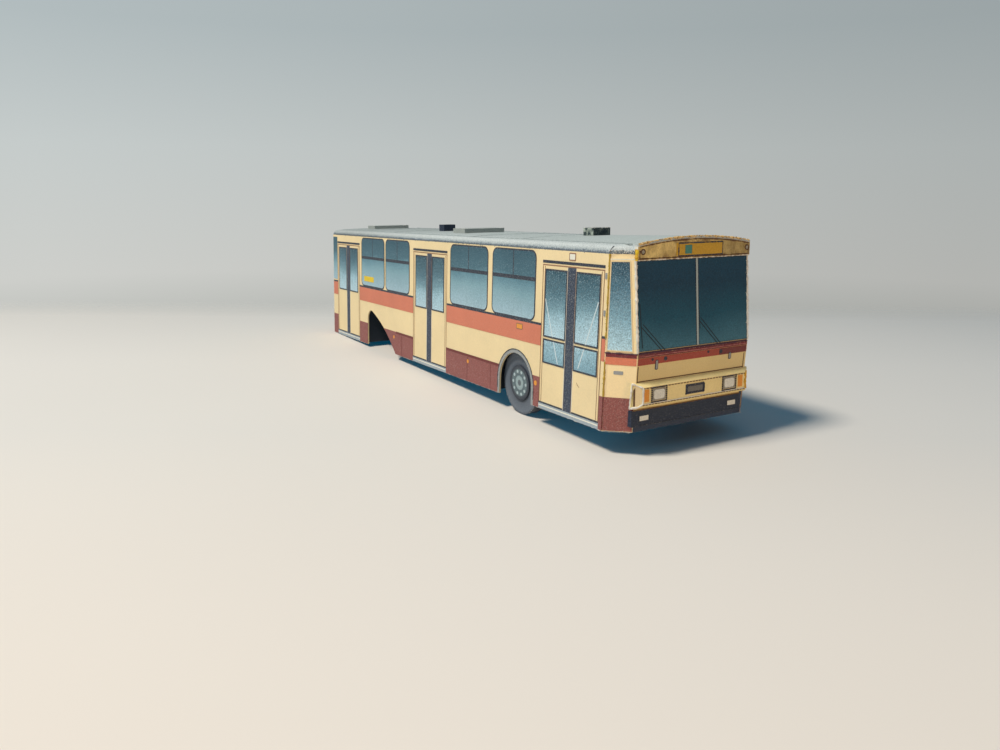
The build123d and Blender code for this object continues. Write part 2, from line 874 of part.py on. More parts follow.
with BuildPart() as headlamps:
    with BuildSketch(lamp_face):
        add(lamp_pair(*headlamp))
    extrude(amount=ink)

with BuildPart() as turn_lamps:
    with BuildSketch(lamp_face):
        add(lamp_pair(*turn_lamp))
    extrude(amount=ink)

with BuildPart() as blank_plate:
    with BuildSketch(lamp_face):
        with Locations((-front_print_shift, lamp_middle)):
            Rectangle(*plate_size)
    extrude(amount=ink)

with BuildPart() as header_sign:
    with BuildSketch(Plane.YZ.offset(header_face)):
        with Locations((sign_y, header_foot + header_drop / 2 + sign_size[1] / 2)):
            Rectangle(*sign_size)
    extrude(amount=ink)

pieces = {
    "side_wall_right": side_wall_right, "side_wall_left": side_wall_left,
    "front_corner_right": front_corner_right, "front_corner_left": front_corner_left,
    "rear_corner_right": rear_corner_right, "rear_corner_left": rear_corner_left,
    "front_panel": front_panel, "rear_panel": rear_panel, "front_header": front_header, "roof": roof,
    "front_wheel_well": front_wheel_well, "rear_wheel_well": rear_wheel_well,
    "floor_front": floor_front, "floor_middle": floor_middle, "floor_rear": floor_rear,
    "front_bracket_right": front_bracket_right, "front_bracket_left": front_bracket_left,
    "rear_bracket_right": rear_bracket_right, "rear_bracket_left": rear_bracket_left,
    "front_axle": front_axle, "front_wheel_right": front_wheel_right,
    "front_wheel_left": front_wheel_left, "front_rim_right": front_rim_right,
    "front_rim_left": front_rim_left, "lamp_panel": lamp_panel, "front_bumper": front_bumper,
    "rear_bumper": rear_bumper, "roof_vent": roof_vent, "pole_plinth": pole_plinth,
    "pole_base": pole_base, "rear_roof_box": rear_roof_box,
    "right_glass": right_glass, "left_glass": left_glass, "right_gaskets": right_gaskets,
    "left_gaskets": left_gaskets, "right_stripe": right_stripe, "left_stripe": left_stripe,
    "right_skirt_print": right_skirt_print, "left_skirt_print": left_skirt_print,
    "arch_lips": arch_lips, "door_sills": door_sills, "windscreen_panes": windscreen_panes,
    "corner_panes": corner_panes, "rear_pane": rear_pane, "waist_line": waist_line,
    "waist_band": waist_band, "corner_bands": corner_bands, "corner_skirts": corner_skirts,
    "headlamps": headlamps, "turn_lamps": turn_lamps, "blank_plate": blank_plate,
    "header_sign": header_sign,
}

# ---------------------------------------------------------------- set down on its wheels and tail
reach = station(front_axle_station) - tail
nose_up = degrees(asin(wheel_radius / hypot(reach, axle_height)) - atan2(axle_height, reach))
tipped = Location((0, 0, 0), (0, -nose_up, 0))
box = Compound([tipped * piece.part for piece in pieces.values()]).bounding_box()
set_down = Location((-box.center().X, 0, -box.min.Z)) * tipped

for name, piece in pieces.items():
    piece.part = set_down * piece.part
    piece.part.label = name
    export_step(piece.part, f"parts/{name}.step")


def settled(x, y, z):
    """Where a point of the level body lies once the model is set down."""
    place = (set_down * Location((x, y, z))).position
    return [round(place.X, 4), round(place.Y, 4), round(place.Z, 4)]


print("nose up", round(nose_up, 3), "degrees; size", box.size)
print("front axle", settled(station(front_axle_station), 0, axle_height))
print("rear axle holes", settled(station(rear_axle_station), 0, axle_height))
print("middle of the floor", settled(station(sum(front_well + rear_well) / 4), 0, floor_height))
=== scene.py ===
"""Looks of a small printed card model of a trolleybus: inks, raw card edges, pen marks and light."""
import json
import math
import random
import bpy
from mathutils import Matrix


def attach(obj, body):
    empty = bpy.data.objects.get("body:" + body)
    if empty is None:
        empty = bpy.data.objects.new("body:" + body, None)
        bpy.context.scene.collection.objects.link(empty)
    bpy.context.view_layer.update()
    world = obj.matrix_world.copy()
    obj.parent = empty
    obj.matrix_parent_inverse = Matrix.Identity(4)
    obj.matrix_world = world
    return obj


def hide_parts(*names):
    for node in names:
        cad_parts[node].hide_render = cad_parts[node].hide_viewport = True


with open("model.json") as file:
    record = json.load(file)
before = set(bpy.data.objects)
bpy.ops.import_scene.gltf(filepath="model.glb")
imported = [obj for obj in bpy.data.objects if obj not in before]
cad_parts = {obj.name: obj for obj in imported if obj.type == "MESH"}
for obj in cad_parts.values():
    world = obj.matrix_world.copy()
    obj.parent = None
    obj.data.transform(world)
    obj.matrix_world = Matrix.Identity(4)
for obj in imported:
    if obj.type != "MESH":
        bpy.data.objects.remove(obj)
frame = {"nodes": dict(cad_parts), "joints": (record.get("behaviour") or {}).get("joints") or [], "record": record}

from types import SimpleNamespace

import bmesh
import bpy
from mathutils import Matrix, Vector

MM = 0.001
scene = bpy.context.scene
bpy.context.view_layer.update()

# ---------------------------------------------------------------- sizes of the level body, in mm
AXLE_STATION = 29.75        # stations run back from the fold in the front panel
AXLE_HEIGHT = 2.77          # heights run up from the lower edge of the skirt
BODY_LENGTH = 130.3
WAIST = 12.2
SIDE_TOP = 27.0
HALF_WIDTH = 14.35          # at the waist
SIDE_LEAN = math.radians(2.3)
WINDSCREEN_LEAN = math.radians(4.2)
FRONT_TUCK = math.radians(4.0)
FRONT_HALF = 11.5
FRONT_CORNER = 4.2
REAR_HALF = 11.0
REAR_CORNER = 3.4
CANT = 1.2
ROOF_RISE = 1.5
HEADER_RISE = 2.35
ROOF_RISE_LENGTH = 45.0
DOORS = ((13.5, 8.4, 7.4), (65.5, 8.3, 6.9), (115.2, 8.3, 6.9))   # middle, half width, reach of the panes
SIDES = (-1, 1)
SIDE_NAMES = {-1: "right", 1: "left"}
PANE_LEVELS = (12.6, 26.0)  # foot and head of the windscreen and the corner panes
INK = 0.05                  # the printed nodes stand this far off the card
ON_INK = INK - 0.01         # print over a printed node
CARD_LIFT = -0.01           # print on bare card

# ---------------------------------------------------------------- the tipped body's own axes
axle = Vector(frame["joints"][0]["pos_m"])
rear_hole = Vector(next(m["pos_m"] for m in frame["record"]["mounts"] if m["name"] == "rear_axle_hole"))
forward = (axle - rear_hole).normalized()
left = Vector((0, 1, 0))
upward = forward.cross(left)
body_axes = Matrix((forward, left, upward)).transposed()
level_axle = Vector((-AXLE_STATION, 0, AXLE_HEIGHT))


def row_point(level):
    """Point of the row's frame, in metres, for a point of the level body in mm."""
    return axle + body_axes @ ((Vector(level) - level_axle) * MM)


def row_direction(level):
    """Unit direction in the row's frame for a direction of the level body."""
    return (body_axes @ Vector(level)).normalized()


def level_reach(node, end=max):
    """How far ahead a CAD node's foremost point lies, in mm of the level body; with min, its rearmost."""
    to_level = body_axes.transposed()
    corners = frame["nodes"][node].data.vertices
    return end((to_level @ (corner.co - axle) / MM + level_axle).x for corner in corners)


def side_half(height):
    """Half width of the body at a height."""
    return HALF_WIDTH + (WAIST - height) * math.tan(SIDE_LEAN)


def front_x(height):
    """How far ahead of the waist fold the front lies at a height."""
    lean = WINDSCREEN_LEAN if height > WAIST else FRONT_TUCK
    return -abs(height - WAIST) * math.tan(lean)


# ---------------------------------------------------------------- faces that carry print


class FlatFace:
    """A flat face of the body: places are mm along it, mm of height, and mm off the card."""

    def __init__(self, origin, along, up, out):
        self.origin, self.along, self.up = Vector(origin), Vector(along), Vector(up)
        self.out = Vector(out).normalized()

    def at(self, along, height, lift=0.0):
        return row_point(self.origin + self.along * along + self.up * height + self.out * lift)


class CornerFace:
    """A corner panel, twisted a little: mm from its side fold, height, and mm off the card."""

    def __init__(self, side, front=True):
        self.side, self.front = side, front

    def folds(self, height):
        """Points of the side fold and the end fold."""
        side_x, end_x = -FRONT_CORNER, front_x(height)
        half = FRONT_HALF
        if not self.front:
            side_x, end_x, half = REAR_CORNER - BODY_LENGTH, -BODY_LENGTH, REAR_HALF
        return (Vector((side_x, self.side * side_half(height), height)),
                Vector((end_x, self.side * half, height)))

    def at(self, along, height, lift=0.0):
        side_fold, end_fold = self.folds(height)
        run = (end_fold - side_fold).normalized()
        out = run.cross(Vector((0, 0, 1)))
        out = out if out.dot(side_fold) > 0 or out.y * self.side > 0 else -out
        return row_point(side_fold + run * along + out * lift)

    def width(self, height):
        """Distance between the folds at a height."""
        side_fold, end_fold = self.folds(height)
        return (end_fold - side_fold).length


class RoofFace:
    """The roof's arch: station, distance to the left, and mm off the card."""

    def height(self, station, across):
        rise = ROOF_RISE + max(0.0, 1 - station / ROOF_RISE_LENGTH) * (HEADER_RISE - ROOF_RISE)
        chord, sagitta = side_half(SIDE_TOP) - CANT, rise - CANT
        radius = (chord ** 2 + sagitta ** 2) / (2 * sagitta)
        return SIDE_TOP + rise - radius + math.sqrt(radius ** 2 - across ** 2)

    def at(self, station, across, lift=0.0):
        return row_point((-station, across, self.height(station, across) + lift))


def side_face(side):
    """Side wall: -1 is the right-hand one, +1 the left."""
    return FlatFace((0, side * side_half(0), 0), (-1, 0, 0), (0, -side * math.tan(SIDE_LEAN), 1),
                    (0, side * math.cos(SIDE_LEAN), math.sin(SIDE_LEAN)))


def upright_face(x, out=1):
    """Face square to the body's length."""
    return FlatFace((x, 0, 0), (0, 1, 0), (0, 0, 1), (out, 0, 0))


def leaning_face(lean):
    """Face of the front that leans back from the waist fold by an angle."""
    return FlatFace((WAIST * math.tan(lean), 0, 0), (0, 1, 0), (-math.tan(lean), 0, 1),
                    (math.cos(lean), 0, math.sin(lean)))


RIGHT = side_face(-1)
WINDSCREEN = leaning_face(WINDSCREEN_LEAN)
LOWER_FRONT = leaning_face(-FRONT_TUCK)
RIGHT_CORNER, LEFT_CORNER = CornerFace(-1), CornerFace(1)
CORNERS = (RIGHT_CORNER, LEFT_CORNER)
ROOF = RoofFace()
HEADER = upright_face(level_reach("front_header"))
LAMPS = upright_face(level_reach("lamp_panel"))
BUMPER = upright_face(level_reach("front_bumper"))
REAR = upright_face(level_reach("rear_panel", min), -1)

# ---------------------------------------------------------------- outlines on a face


def bar(a0, a1, h0, h1):
    """Upright rectangle."""
    return [(a0, h0), (a1, h0), (a1, h1), (a0, h1)]


def stroke(start, end, width):
    """Straight line of a given width."""
    start, end = Vector(start), Vector(end)
    side = (end - start).orthogonal().normalized() * width / 2
    return [tuple(p) for p in (start - side, end - side, end + side, start + side)]


def disc(a, h, radius, count=20):
    """Round outline."""
    turn = 2 * math.pi / count
    return [(a + radius * math.cos(i * turn), h + radius * math.sin(i * turn)) for i in range(count)]


def rounded(a0, a1, h0, h1, radius, steps=4):
    """Rectangle with round corners."""
    loop = []
    for a, h, start in ((a1 - radius, h1 - radius, 0), (a0 + radius, h1 - radius, 1),
                        (a0 + radius, h0 + radius, 2), (a1 - radius, h0 + radius, 3)):
        for i in range(steps + 1):
            angle = (start + i / steps) * math.pi / 2
            loop.append((a + radius * math.cos(angle), h + radius * math.sin(angle)))
    return loop


def frame_bars(a0, a1, h0, h1, width):
    """Four bars round the inside of a rectangle."""
    return [bar(a0, a1, h0, h0 + width), bar(a0, a1, h1 - width, h1),
            bar(a0, a0 + width, h0 + width, h1 - width), bar(a1 - width, a1, h0 + width, h1 - width)]


def split_evenly(loop, parts=8):
    """Same outline with every edge cut in as many parts, so that two outlines stay paired."""
    fine = []
    for a, b in zip(loop, loop[1:] + loop[:1]):
        fine += [(a[0] + (b[0] - a[0]) * i / parts, a[1] + (b[1] - a[1]) * i / parts) for i in range(parts)]
    return fine


def band(outer, inner):
    """The area between two outlines with as many points."""
    return {"outer": outer, "inner": inner}


# ---------------------------------------------------------------- pieces
def finish_piece(bm, name, material, body="body"):
    """Turns a bmesh into a piece that rides on its body."""
    bmesh.ops.recalc_face_normals(bm, faces=bm.faces)
    mesh = bpy.data.meshes.new(name)
    bm.to_mesh(mesh)
    bm.free()
    return dress(bpy.data.objects.new(name, mesh), material, body)


def dress(piece, material, body="body"):
    """Gives a piece its material and body."""
    if piece.name not in scene.collection.objects:
        scene.collection.objects.link(piece)
    piece.data.materials.clear()
    piece.data.materials.append(material)
    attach(piece, body)
    return piece


def add_slab(bm, face, loop, lift, depth):
    """Closed thin slab on a face: the outline, its top lift + depth off the card."""
    top = [bm.verts.new(face.at(a, h, lift + depth)) for a, h in loop]
    foot = [bm.verts.new(face.at(a, h, lift)) for a, h in loop]
    bm.faces.new(top)
    bm.faces.new(reversed(foot))
    for i in range(len(loop)):
        j = (i + 1) % len(loop)
        bm.faces.new((top[i], foot[i], foot[j], top[j]))


def add_ring(bm, face, outer, inner, lift, depth):
    """Closed thin band between two outlines with as many points."""
    rings = [[bm.verts.new(face.at(a, h, z)) for a, h in loop]
             for loop, z in ((outer, lift), (outer, lift + depth), (inner, lift + depth), (inner, lift))]
    count = len(outer)
    for near, far in zip(rings, rings[1:] + rings[:1]):
        for i in range(count):
            j = (i + 1) % count
            bm.faces.new((near[i], near[j], far[j], far[i]))


def print_on(name, material, parts, lift, depth):
    """One piece of print: for each face, its outlines; a pair of outlines is a band between them."""
    bm = bmesh.new()
    for face, loops in parts:
        for loop in loops:
            if isinstance(loop, dict):
                add_ring(bm, face, loop["outer"], loop["inner"], lift, depth)
            else:
                add_slab(bm, face, loop, lift, depth)
    return finish_piece(bm, name, material)


def prints_on(face, *rows):
    """Several pieces of print on one face: name, finish, slot, outlines, lift and depth of each."""
    for name, material, slot, loops, lift, depth in rows:
        print_on(name, material, [(face, loops)], lift, depth)


# ---------------------------------------------------------------- materials
def rgb(red, green, blue):
    """Linear colour from the 0 to 255 values of a display."""
    def linear(value):
        value /= 255
        return value / 12.92 if value <= 0.04045 else ((value + 0.055) / 1.055) ** 2.4
    return (linear(red), linear(green), linear(blue), 1.0)


class Nodes:
    """A node tree, with short calls for its nodes."""

    def __init__(self, tree):
        self.tree = tree

    def put(self, socket, value):
        """Links or sets an input."""
        if isinstance(value, bpy.types.NodeSocket):
            self.tree.links.new(value, socket)
        else:
            socket.default_value = value

    def add(self, kind, settings=None, **inputs):
        """A new node; an input goes by its name, or by n and its number."""
        made = self.tree.nodes.new(kind)
        for key, value in (settings or {}).items():
            setattr(made, key, value)
        for key, value in inputs.items():
            self.put(made.inputs[int(key[1:]) if key[1:].isdigit() else key.replace("_", " ")], value)
        return made

    def node(self, kind, settings=None, **inputs):
        """The outputs of a new node."""
        return self.add(kind, settings, **inputs).outputs

    def scaled(self, value, low, high, to_low=0.0, to_high=1.0):
        """The value moved from one range to another, and held within it."""
        return self.node("ShaderNodeMapRange", Value=value, From_Min=low, From_Max=high,
                         To_Min=to_low, To_Max=to_high)["Result"]

    def maths(self, operation, first, second=0.0):
        return self.node("ShaderNodeMath", {"operation": operation}, n0=first, n1=second)[0]

    def vector(self, operation, first, second):
        return self.node("ShaderNodeVectorMath", {"operation": operation}, n0=first, n1=second)[0]

    def dot(self, first, second):
        return self.node("ShaderNodeVectorMath", {"operation": "DOT_PRODUCT"}, n0=first, n1=second)["Value"]

    def length(self, vector):
        return self.node("ShaderNodeVectorMath", {"operation": "LENGTH"}, n0=vector)["Value"]

    def mix(self, factor, first, second, blend="MIX"):
        """Two colours mixed; factor 1 gives the second."""
        return self.node("ShaderNodeMix", {"data_type": "RGBA", "blend_type": blend},
                         n0=factor, n6=first, n7=second)[2]

    def ramp(self, value, stops):
        """Colours along a value; each stop is its place, red, green and blue."""
        made = self.add("ShaderNodeValToRGB", Fac=value)
        elements = made.color_ramp.elements
        while len(elements) < len(stops):
            elements.new(0.5)
        for element, (place, *colour) in zip(elements, stops):
            element.position = place
            element.color = rgb(*colour)
        return made.outputs["Color"]

    def toned(self, colour, level):
        """The colour made lighter or darker by a factor."""
        three = colour if isinstance(colour, bpy.types.NodeSocket) else colour[:3]
        return self.node("ShaderNodeVectorMath", {"operation": "SCALE"}, n0=three, Scale=level)[0]

    def shown_rays(self):
        """1 for the rays that show the backdrop: straight to the camera, or by way of gloss or glass."""
        path = self.node("ShaderNodeLightPath")
        by_gloss = self.maths("MAXIMUM", path["Is Camera Ray"], path["Is Glossy Ray"])
        return self.maths("MAXIMUM", by_gloss, path["Is Transmission Ray"])


class Finish(Nodes):
    """A material of the model."""

    def __init__(self, name, roughness=0.6, specular=0.3):
        self.material = bpy.data.materials.new(name)
        self.material.use_nodes = True
        super().__init__(self.material.node_tree)
        self.bsdf = self.tree.nodes["Principled BSDF"]
        self.bsdf.inputs["Roughness"].default_value = roughness
        self.bsdf.inputs["Specular IOR Level"].default_value = specular
        self.object_point = self.node("ShaderNodeTexCoord")["Object"]
        turn = body_axes.transposed()
        level = self.node("ShaderNodeMapping", Vector=self.object_point, Rotation=turn.to_euler(),
                          Location=level_axle * MM - turn @ axle)
        self.level_xyz = self.node("ShaderNodeSeparateXYZ", Vector=level["Vector"])

    def noise(self, scale, detail=2.0, roughness=0.5, distortion=0.0):
        return self.node("ShaderNodeTexNoise", Vector=self.object_point, Scale=scale, Detail=detail,
                         Roughness=roughness, Distortion=distortion)["Fac"]

    def facing(self, direction, low=0.8, high=0.9):
        """1 on the faces that look along a direction, 0 on the others."""
        return self.scaled(self.dot(self.node("ShaderNodeTexCoord")["Normal"], direction), low, high)

    def colour(self, value):
        """Sets the base colour."""
        self.put(self.bsdf.inputs["Base Color"], value)

    def bump(self, height, distance, strength):
        """Relief of the surface."""
        made = self.node("ShaderNodeBump", Height=height, Distance=distance, Strength=strength)
        self.put(self.bsdf.inputs["Normal"], made["Normal"])


PAPER = rgb(222, 219, 208)      # raw card
GRAIN_SCALE = 4600.0            # print grain, in cells per metre
FIBRE_SCALE = 2600.0
FIBRE_DEPTH = 0.03 * MM
MOTTLE_SCALE = 130.0
CLOUD_SCALE = 90.0
RUB_SCALE = 2600.0
PANE_SHEEN = rgb(190, 212, 218)


def inked(finish, colour, grain, fleck, fleck_colour=PAPER):
    """Toner on card: a dark and light grain, pin holes that show the card, and slow changes of tone."""
    grain_noise = finish.noise(GRAIN_SCALE, 3.0, 0.7)
    tone = finish.scaled(grain_noise, 0.3, 0.7, 1 - grain, 1 + grain)
    mottle = finish.scaled(finish.noise(MOTTLE_SCALE, 3.0, 0.6), 0.3, 0.7, 0.96, 1.04)
    toned = finish.toned(colour, finish.maths("MULTIPLY", tone, mottle))
    if not fleck:
        return toned
    spots = finish.scaled(finish.noise(GRAIN_SCALE * 1.3, 1.0, 0.4), 0.56, 0.72, 0.0, fleck)
    return finish.mix(spots, toned, fleck_colour)


def fibres(finish, strength):
    """The card's own surface: fine felted fibres."""
    fibre = finish.noise(FIBRE_SCALE, 4.0, 0.65, 0.6)
    finish.bump(fibre, FIBRE_DEPTH, strength)
    finish.put(finish.bsdf.inputs["Roughness"], finish.scaled(fibre, 0.3, 0.7, 0.5, 0.68))


def covered(finish, colour, fibre_strength=0.35):
    """The finished material, in a colour and with the card's fibres."""
    finish.colour(colour)
    fibres(finish, fibre_strength)
    return finish.material


def raw_card(finish):
    """Colour of unprinted card, a little dirty."""
    dirt = finish.scaled(finish.noise(420.0, 4.0, 0.7), 0.45, 0.75)
    return finish.mix(dirt, PAPER, rgb(186, 180, 166))


def printed_card(name, colour, out, grain=0.05, fleck=0.05):
    """Sheet with print on the faces that look along out, and raw card inside."""
    finish = Finish(name)
    printed = inked(finish, colour, grain, fleck)
    return covered(finish, finish.mix(finish.facing(out, -0.3, -0.15), raw_card(finish), printed))


def ink(name, colour, grain, fleck):
    """Printed area of one colour."""
    finish = Finish(name)
    return covered(finish, inked(finish, colour, grain, fleck), 0.25)


def pane_print(finish, foot, top, stops, grain, fleck):
    """Print of glass: colours that change with height from its foot to its top, a little cloudy."""
    height = finish.scaled(finish.level_xyz["Z"], foot * MM, top * MM)
    cloud = finish.scaled(finish.noise(CLOUD_SCALE), 0.3, 0.7, -0.06, 0.06)
    shade = finish.ramp(finish.maths("ADD", height, cloud), stops)
    return inked(finish, shade, grain, fleck, PANE_SHEEN)


def glass_ink(name, print_values):
    """Printed glass of one kind."""
    finish = Finish(name, roughness=0.5)
    return covered(finish, pane_print(finish, *print_values), 0.25)


CREAM = rgb(236, 212, 164)
# painted light: the corner panels' cream is lighter than the sides', making up for the light their angle loses
LIT_CORNER_CREAM = rgb(246, 221, 170)
SHADED_CREAM = rgb(219, 198, 141)

cream_side = {side: printed_card(f"cream_side_{side + 1}", CREAM, row_direction(side_face(side).out))
              for side in SIDES}


def corner_card(side, front):
    """Cream card of one corner panel, printed lighter than the sides' cream as painted light."""
    face = CornerFace(side, front)
    out = (face.at(1.0, WAIST, 1.0) - face.at(1.0, WAIST)).normalized()
    return printed_card(f"cream_corner_{side + 1}_{int(front)}", LIT_CORNER_CREAM, out)


cream_front = printed_card("cream_front", SHADED_CREAM, row_direction((1, 0, 0)), 0.06, 0.06)
cream_rear = printed_card("cream_rear", CREAM, row_direction((-1, 0, 0)))
INKS = {        # red, green, blue, grain, flecks
    "lamp_panel_card": (238, 218, 154, 0.08, 0.05), "maroon": (140, 83, 78, 0.28, 0.16),
    "stripe": (207, 123, 96, 0.06, 0.06), "front_red": (158, 72, 58, 0.12, 0.06),
    "corner_red": (214, 124, 93, 0.12, 0.08), "line": (48, 54, 66, 0.4, 0.2),
    # the foot ink is painted shadow: it darkens the lower front's foot under the bumper
    "seal": (56, 66, 82, 0.5, 0.25), "foot": (46, 58, 78, 0.3, 0.04), "plum_band": (110, 44, 50, 0.3, 0.1),
    "brown": (150, 112, 84, 0.12, 0.05), "pale": (226, 222, 206, 0.06, 0.0),
    "lip": (150, 152, 150, 0.10, 0.10), "sill": (160, 170, 176, 0.10, 0.12),
    "black_card": (35, 46, 64, 0.34, 0.06), "well_card": (40, 48, 58, 0.10, 0.0),
    # the underside's card is printed strong blue so that light bounced off it paints the shade on the table blue
    "floor_card": (48, 104, 140, 0.08, 0.0), "lamp": (196, 194, 176, 0.10, 0.10),
    "amber": (226, 150, 62, 0.08, 0.05), "rail": (206, 218, 220, 0.06, 0.0),
    "dark_red": (112, 54, 52, 0.2, 0.05), "divider": (168, 182, 180, 0.06, 0.0),
    "wiper": (26, 42, 54, 0.1, 0.0), "seam": (92, 66, 44, 0.14, 0.05),
    "brown_dark": (104, 78, 56, 0.14, 0.0), "lamp_core": (222, 222, 210, 0.14, 0.0),
    "bezel": (150, 146, 130, 0.3, 0.2), "plate": (112, 110, 102, 0.12, 0.08),
    "cream": (226, 204, 158, 0.06, 0.05), "sign": (192, 152, 52, 0.14, 0.0),
    "pen_ochre": (206, 158, 52, 0.2, 0.0), "pen_olive": (178, 150, 62, 0.2, 0.0),
    "plum": (74, 44, 58, 0.14, 0.0), "rose": (176, 112, 104, 0.12, 0.0),
    "hand_hole": (176, 190, 192, 0.1, 0.0), "nut": (98, 108, 112, 0.08, 0.0),
    "crease": (144, 152, 150, 0.12, 0.1), "roof_line": (96, 106, 116, 0.12, 0.0),
    "red_lamp": (176, 44, 40, 0.08, 0.05), "pen_yellow": (222, 190, 52, 0.12, 0.0),
    "teal": (70, 128, 118, 0.14, 0.0),
}
inks = SimpleNamespace(**{name: ink(name, rgb(*values[:3]), *values[3:]) for name, values in INKS.items()})


def edge_finish(name, colour_of):
    """Bare fibres of a raw or rubbed edge."""
    finish = Finish(name, roughness=0.8)
    return covered(finish, colour_of(finish), 0.6)


def rubbed_tone(finish):
    """Brown and cream where print and fibres are rubbed together."""
    rub = finish.scaled(finish.noise(RUB_SCALE, 3.0, 0.7), 0.35, 0.65)
    return finish.ramp(rub, [(0.0, 122, 92, 58), (0.45, 206, 170, 108),
                             (0.7, 216, 188, 132), (1.0, 226, 206, 160)])


paper_edge = edge_finish("paper_edge", raw_card)
rubbed_edge = edge_finish("rubbed_edge", rubbed_tone)

WINDOW_SHADES = [(0.0, 158, 184, 194), (0.35, 128, 162, 172), (0.55, 96, 134, 147), (0.66, 69, 103, 116),
                 (1.0, 54, 86, 100)]
DOOR_SHADES = [(0.0, 122, 158, 172), (0.22, 144, 178, 190), (0.3, 178, 204, 213), (0.5, 154, 186, 197),
               (0.62, 112, 146, 158), (0.78, 76, 110, 123), (1.0, 44, 76, 90)]
WINDOW_PRINT = (15.0, 26.5, WINDOW_SHADES, 0.24, 0.2)       # foot, top, shades, grain, flecks
DOOR_PRINT = (8.15, 23.8, DOOR_SHADES, 0.5, 0.4)
CORNER_SHADES = [(0.0, 176, 208, 219), (0.3, 126, 164, 180), (0.65, 76, 112, 130), (1.0, 42, 71, 89)]
CORNER_PRINT = (*PANE_LEVELS, CORNER_SHADES, 0.5, 0.33)
WINDSCREEN_SHADES = [(0.0, 58, 106, 124), (0.35, 14, 74, 95), (0.7, 4, 54, 77), (1.0, 8, 59, 84)]
WINDSCREEN_PRINT = (*PANE_LEVELS, WINDSCREEN_SHADES, 0.3, 0.02)


def door_side_glass():
    """The right side's glass: its windows, and the rougher print of the panes in its doors."""
    finish = Finish("door_side_glass", roughness=0.5)
    in_door = 0.0
    for middle, half, _ in DOORS:
        offset = finish.maths("ABSOLUTE", finish.maths("ADD", finish.level_xyz["X"], middle * MM))
        in_door = finish.maths("MAXIMUM", in_door, finish.maths("LESS_THAN", offset, half * MM))
    windows, panes = pane_print(finish, *WINDOW_PRINT), pane_print(finish, *DOOR_PRINT)
    return covered(finish, finish.mix(in_door, windows, panes), 0.25)


window_glass = glass_ink("window_glass", WINDOW_PRINT)
right_side_glass = door_side_glass()
corner_glass = glass_ink("corner_glass", CORNER_PRINT)
windscreen_glass = glass_ink("windscreen_glass", WINDSCREEN_PRINT)
HEADER_FOOT = 26.1
HEADER_MIDDLE = 27.5


def header_finish():
    """Ochre print, rubbed and darker towards the edges, on the front of the header board, with painted shade
    towards the model's left end.
    """
    finish = Finish("ochre_header")
    rub = finish.scaled(finish.noise(700.0, 4.0, 0.7), 0.35, 0.7)
    ochre = finish.mix(rub, rgb(220, 196, 127), rgb(168, 142, 86))
    side = finish.maths("ABSOLUTE", finish.maths("ADD", finish.level_xyz["Z"], -HEADER_MIDDLE * MM))
    border = finish.maths("MULTIPLY", finish.scaled(side, 0.6 * MM, 1.5 * MM), finish.scaled(rub, 0.2, 0.8))
    printed = finish.mix(border, ochre, rgb(104, 72, 42))
    # painted shade: the print darkens towards the model's left end
    painted_shade_print = finish.toned(printed, finish.scaled(finish.level_xyz["Y"], -4 * MM, 7 * MM, 1.08, 0.66))
    front = finish.facing(row_direction((1, 0, 0)))
    return covered(finish, finish.mix(front, raw_card(finish), inked(finish, painted_shade_print, 0.16, 0.06)))


ochre_header = header_finish()


def roof_finish():
    """Silver print: a rough dark line along its lower edge, painted shade up the rounded cant and a painted
    highlight near its top, and raw card inside.
    """
    finish = Finish("silver_roof", roughness=0.5)
    height = finish.maths("ADD", finish.level_xyz["Z"],
                          finish.scaled(finish.noise(4200.0, 3.0, 0.7), 0.3, 0.7, -0.0003, 0.0003))
    rise = finish.scaled(height, (SIDE_TOP + 0.1) * MM, (SIDE_TOP + 1.5) * MM)
    # painted highlight and shade: above the printed dark edge line the cant is darker low down, brightest near its
    # top, then a little darker on the roof's top
    silver = finish.ramp(rise, [(0.0, 88, 100, 110), (0.14, 112, 124, 132), (0.3, 158, 166, 166),
                                (0.55, 184, 189, 186), (0.78, 200, 203, 198), (0.9, 166, 172, 168),
                                (1.0, 171, 177, 172)])
    # the silver print is darker towards the rear
    darker_towards_rear = finish.scaled(finish.level_xyz["X"], -112 * MM, -62 * MM, 0.74, 1.0)
    printed = inked(finish, finish.toned(silver, darker_towards_rear), 0.24, 0.16)
    inside = finish.facing(row_direction((0, 0, 1)), -0.4, -0.2)
    return covered(finish, finish.mix(inside, raw_card(finish), printed))


silver_roof = roof_finish()
silver_card = ink("silver_card", rgb(160, 164, 158), 0.2, 0.10)


def vent_finish():
    """Dark print on the vent's ends, and mottled grey down its sides."""
    finish = Finish("vent_card")
    patches = finish.scaled(finish.noise(1300.0, 3.0, 0.6), 0.42, 0.58)
    mottled = finish.mix(patches, rgb(46, 60, 62), rgb(176, 184, 170))
    dark = finish.mix(finish.scaled(patches, 0.0, 1.0, 0.0, 0.25), rgb(44, 58, 62), rgb(120, 132, 124))
    sides = finish.maths("MAXIMUM", finish.facing((0, -1, 0)), finish.facing((0, 1, 0)))
    return covered(finish, inked(finish, finish.mix(sides, dark, mottled), 0.2, 0.1))


vent_card = vent_finish()


def radial(finish):
    """Distance from the front axle, in metres, across a wheel."""
    offset = finish.vector("SUBTRACT", finish.object_point, axle)
    return finish.length(finish.vector("MULTIPLY", offset, (1, 0, 1)))


def tyre_finish():
    """Dark print on the tyre's face, greyer towards its tread, with rubbed edges."""
    finish = Finish("tyre_card", roughness=0.7)
    reach = finish.scaled(radial(finish), 3.0 * MM, 5.9 * MM)
    rubber = finish.ramp(reach, [(0.0, 56, 63, 73), (0.3, 91, 99, 109), (0.8, 106, 114, 124),
                                 (1.0, 70, 75, 84)])
    return covered(finish, inked(finish, rubber, 0.10, 0.05), 0.5)


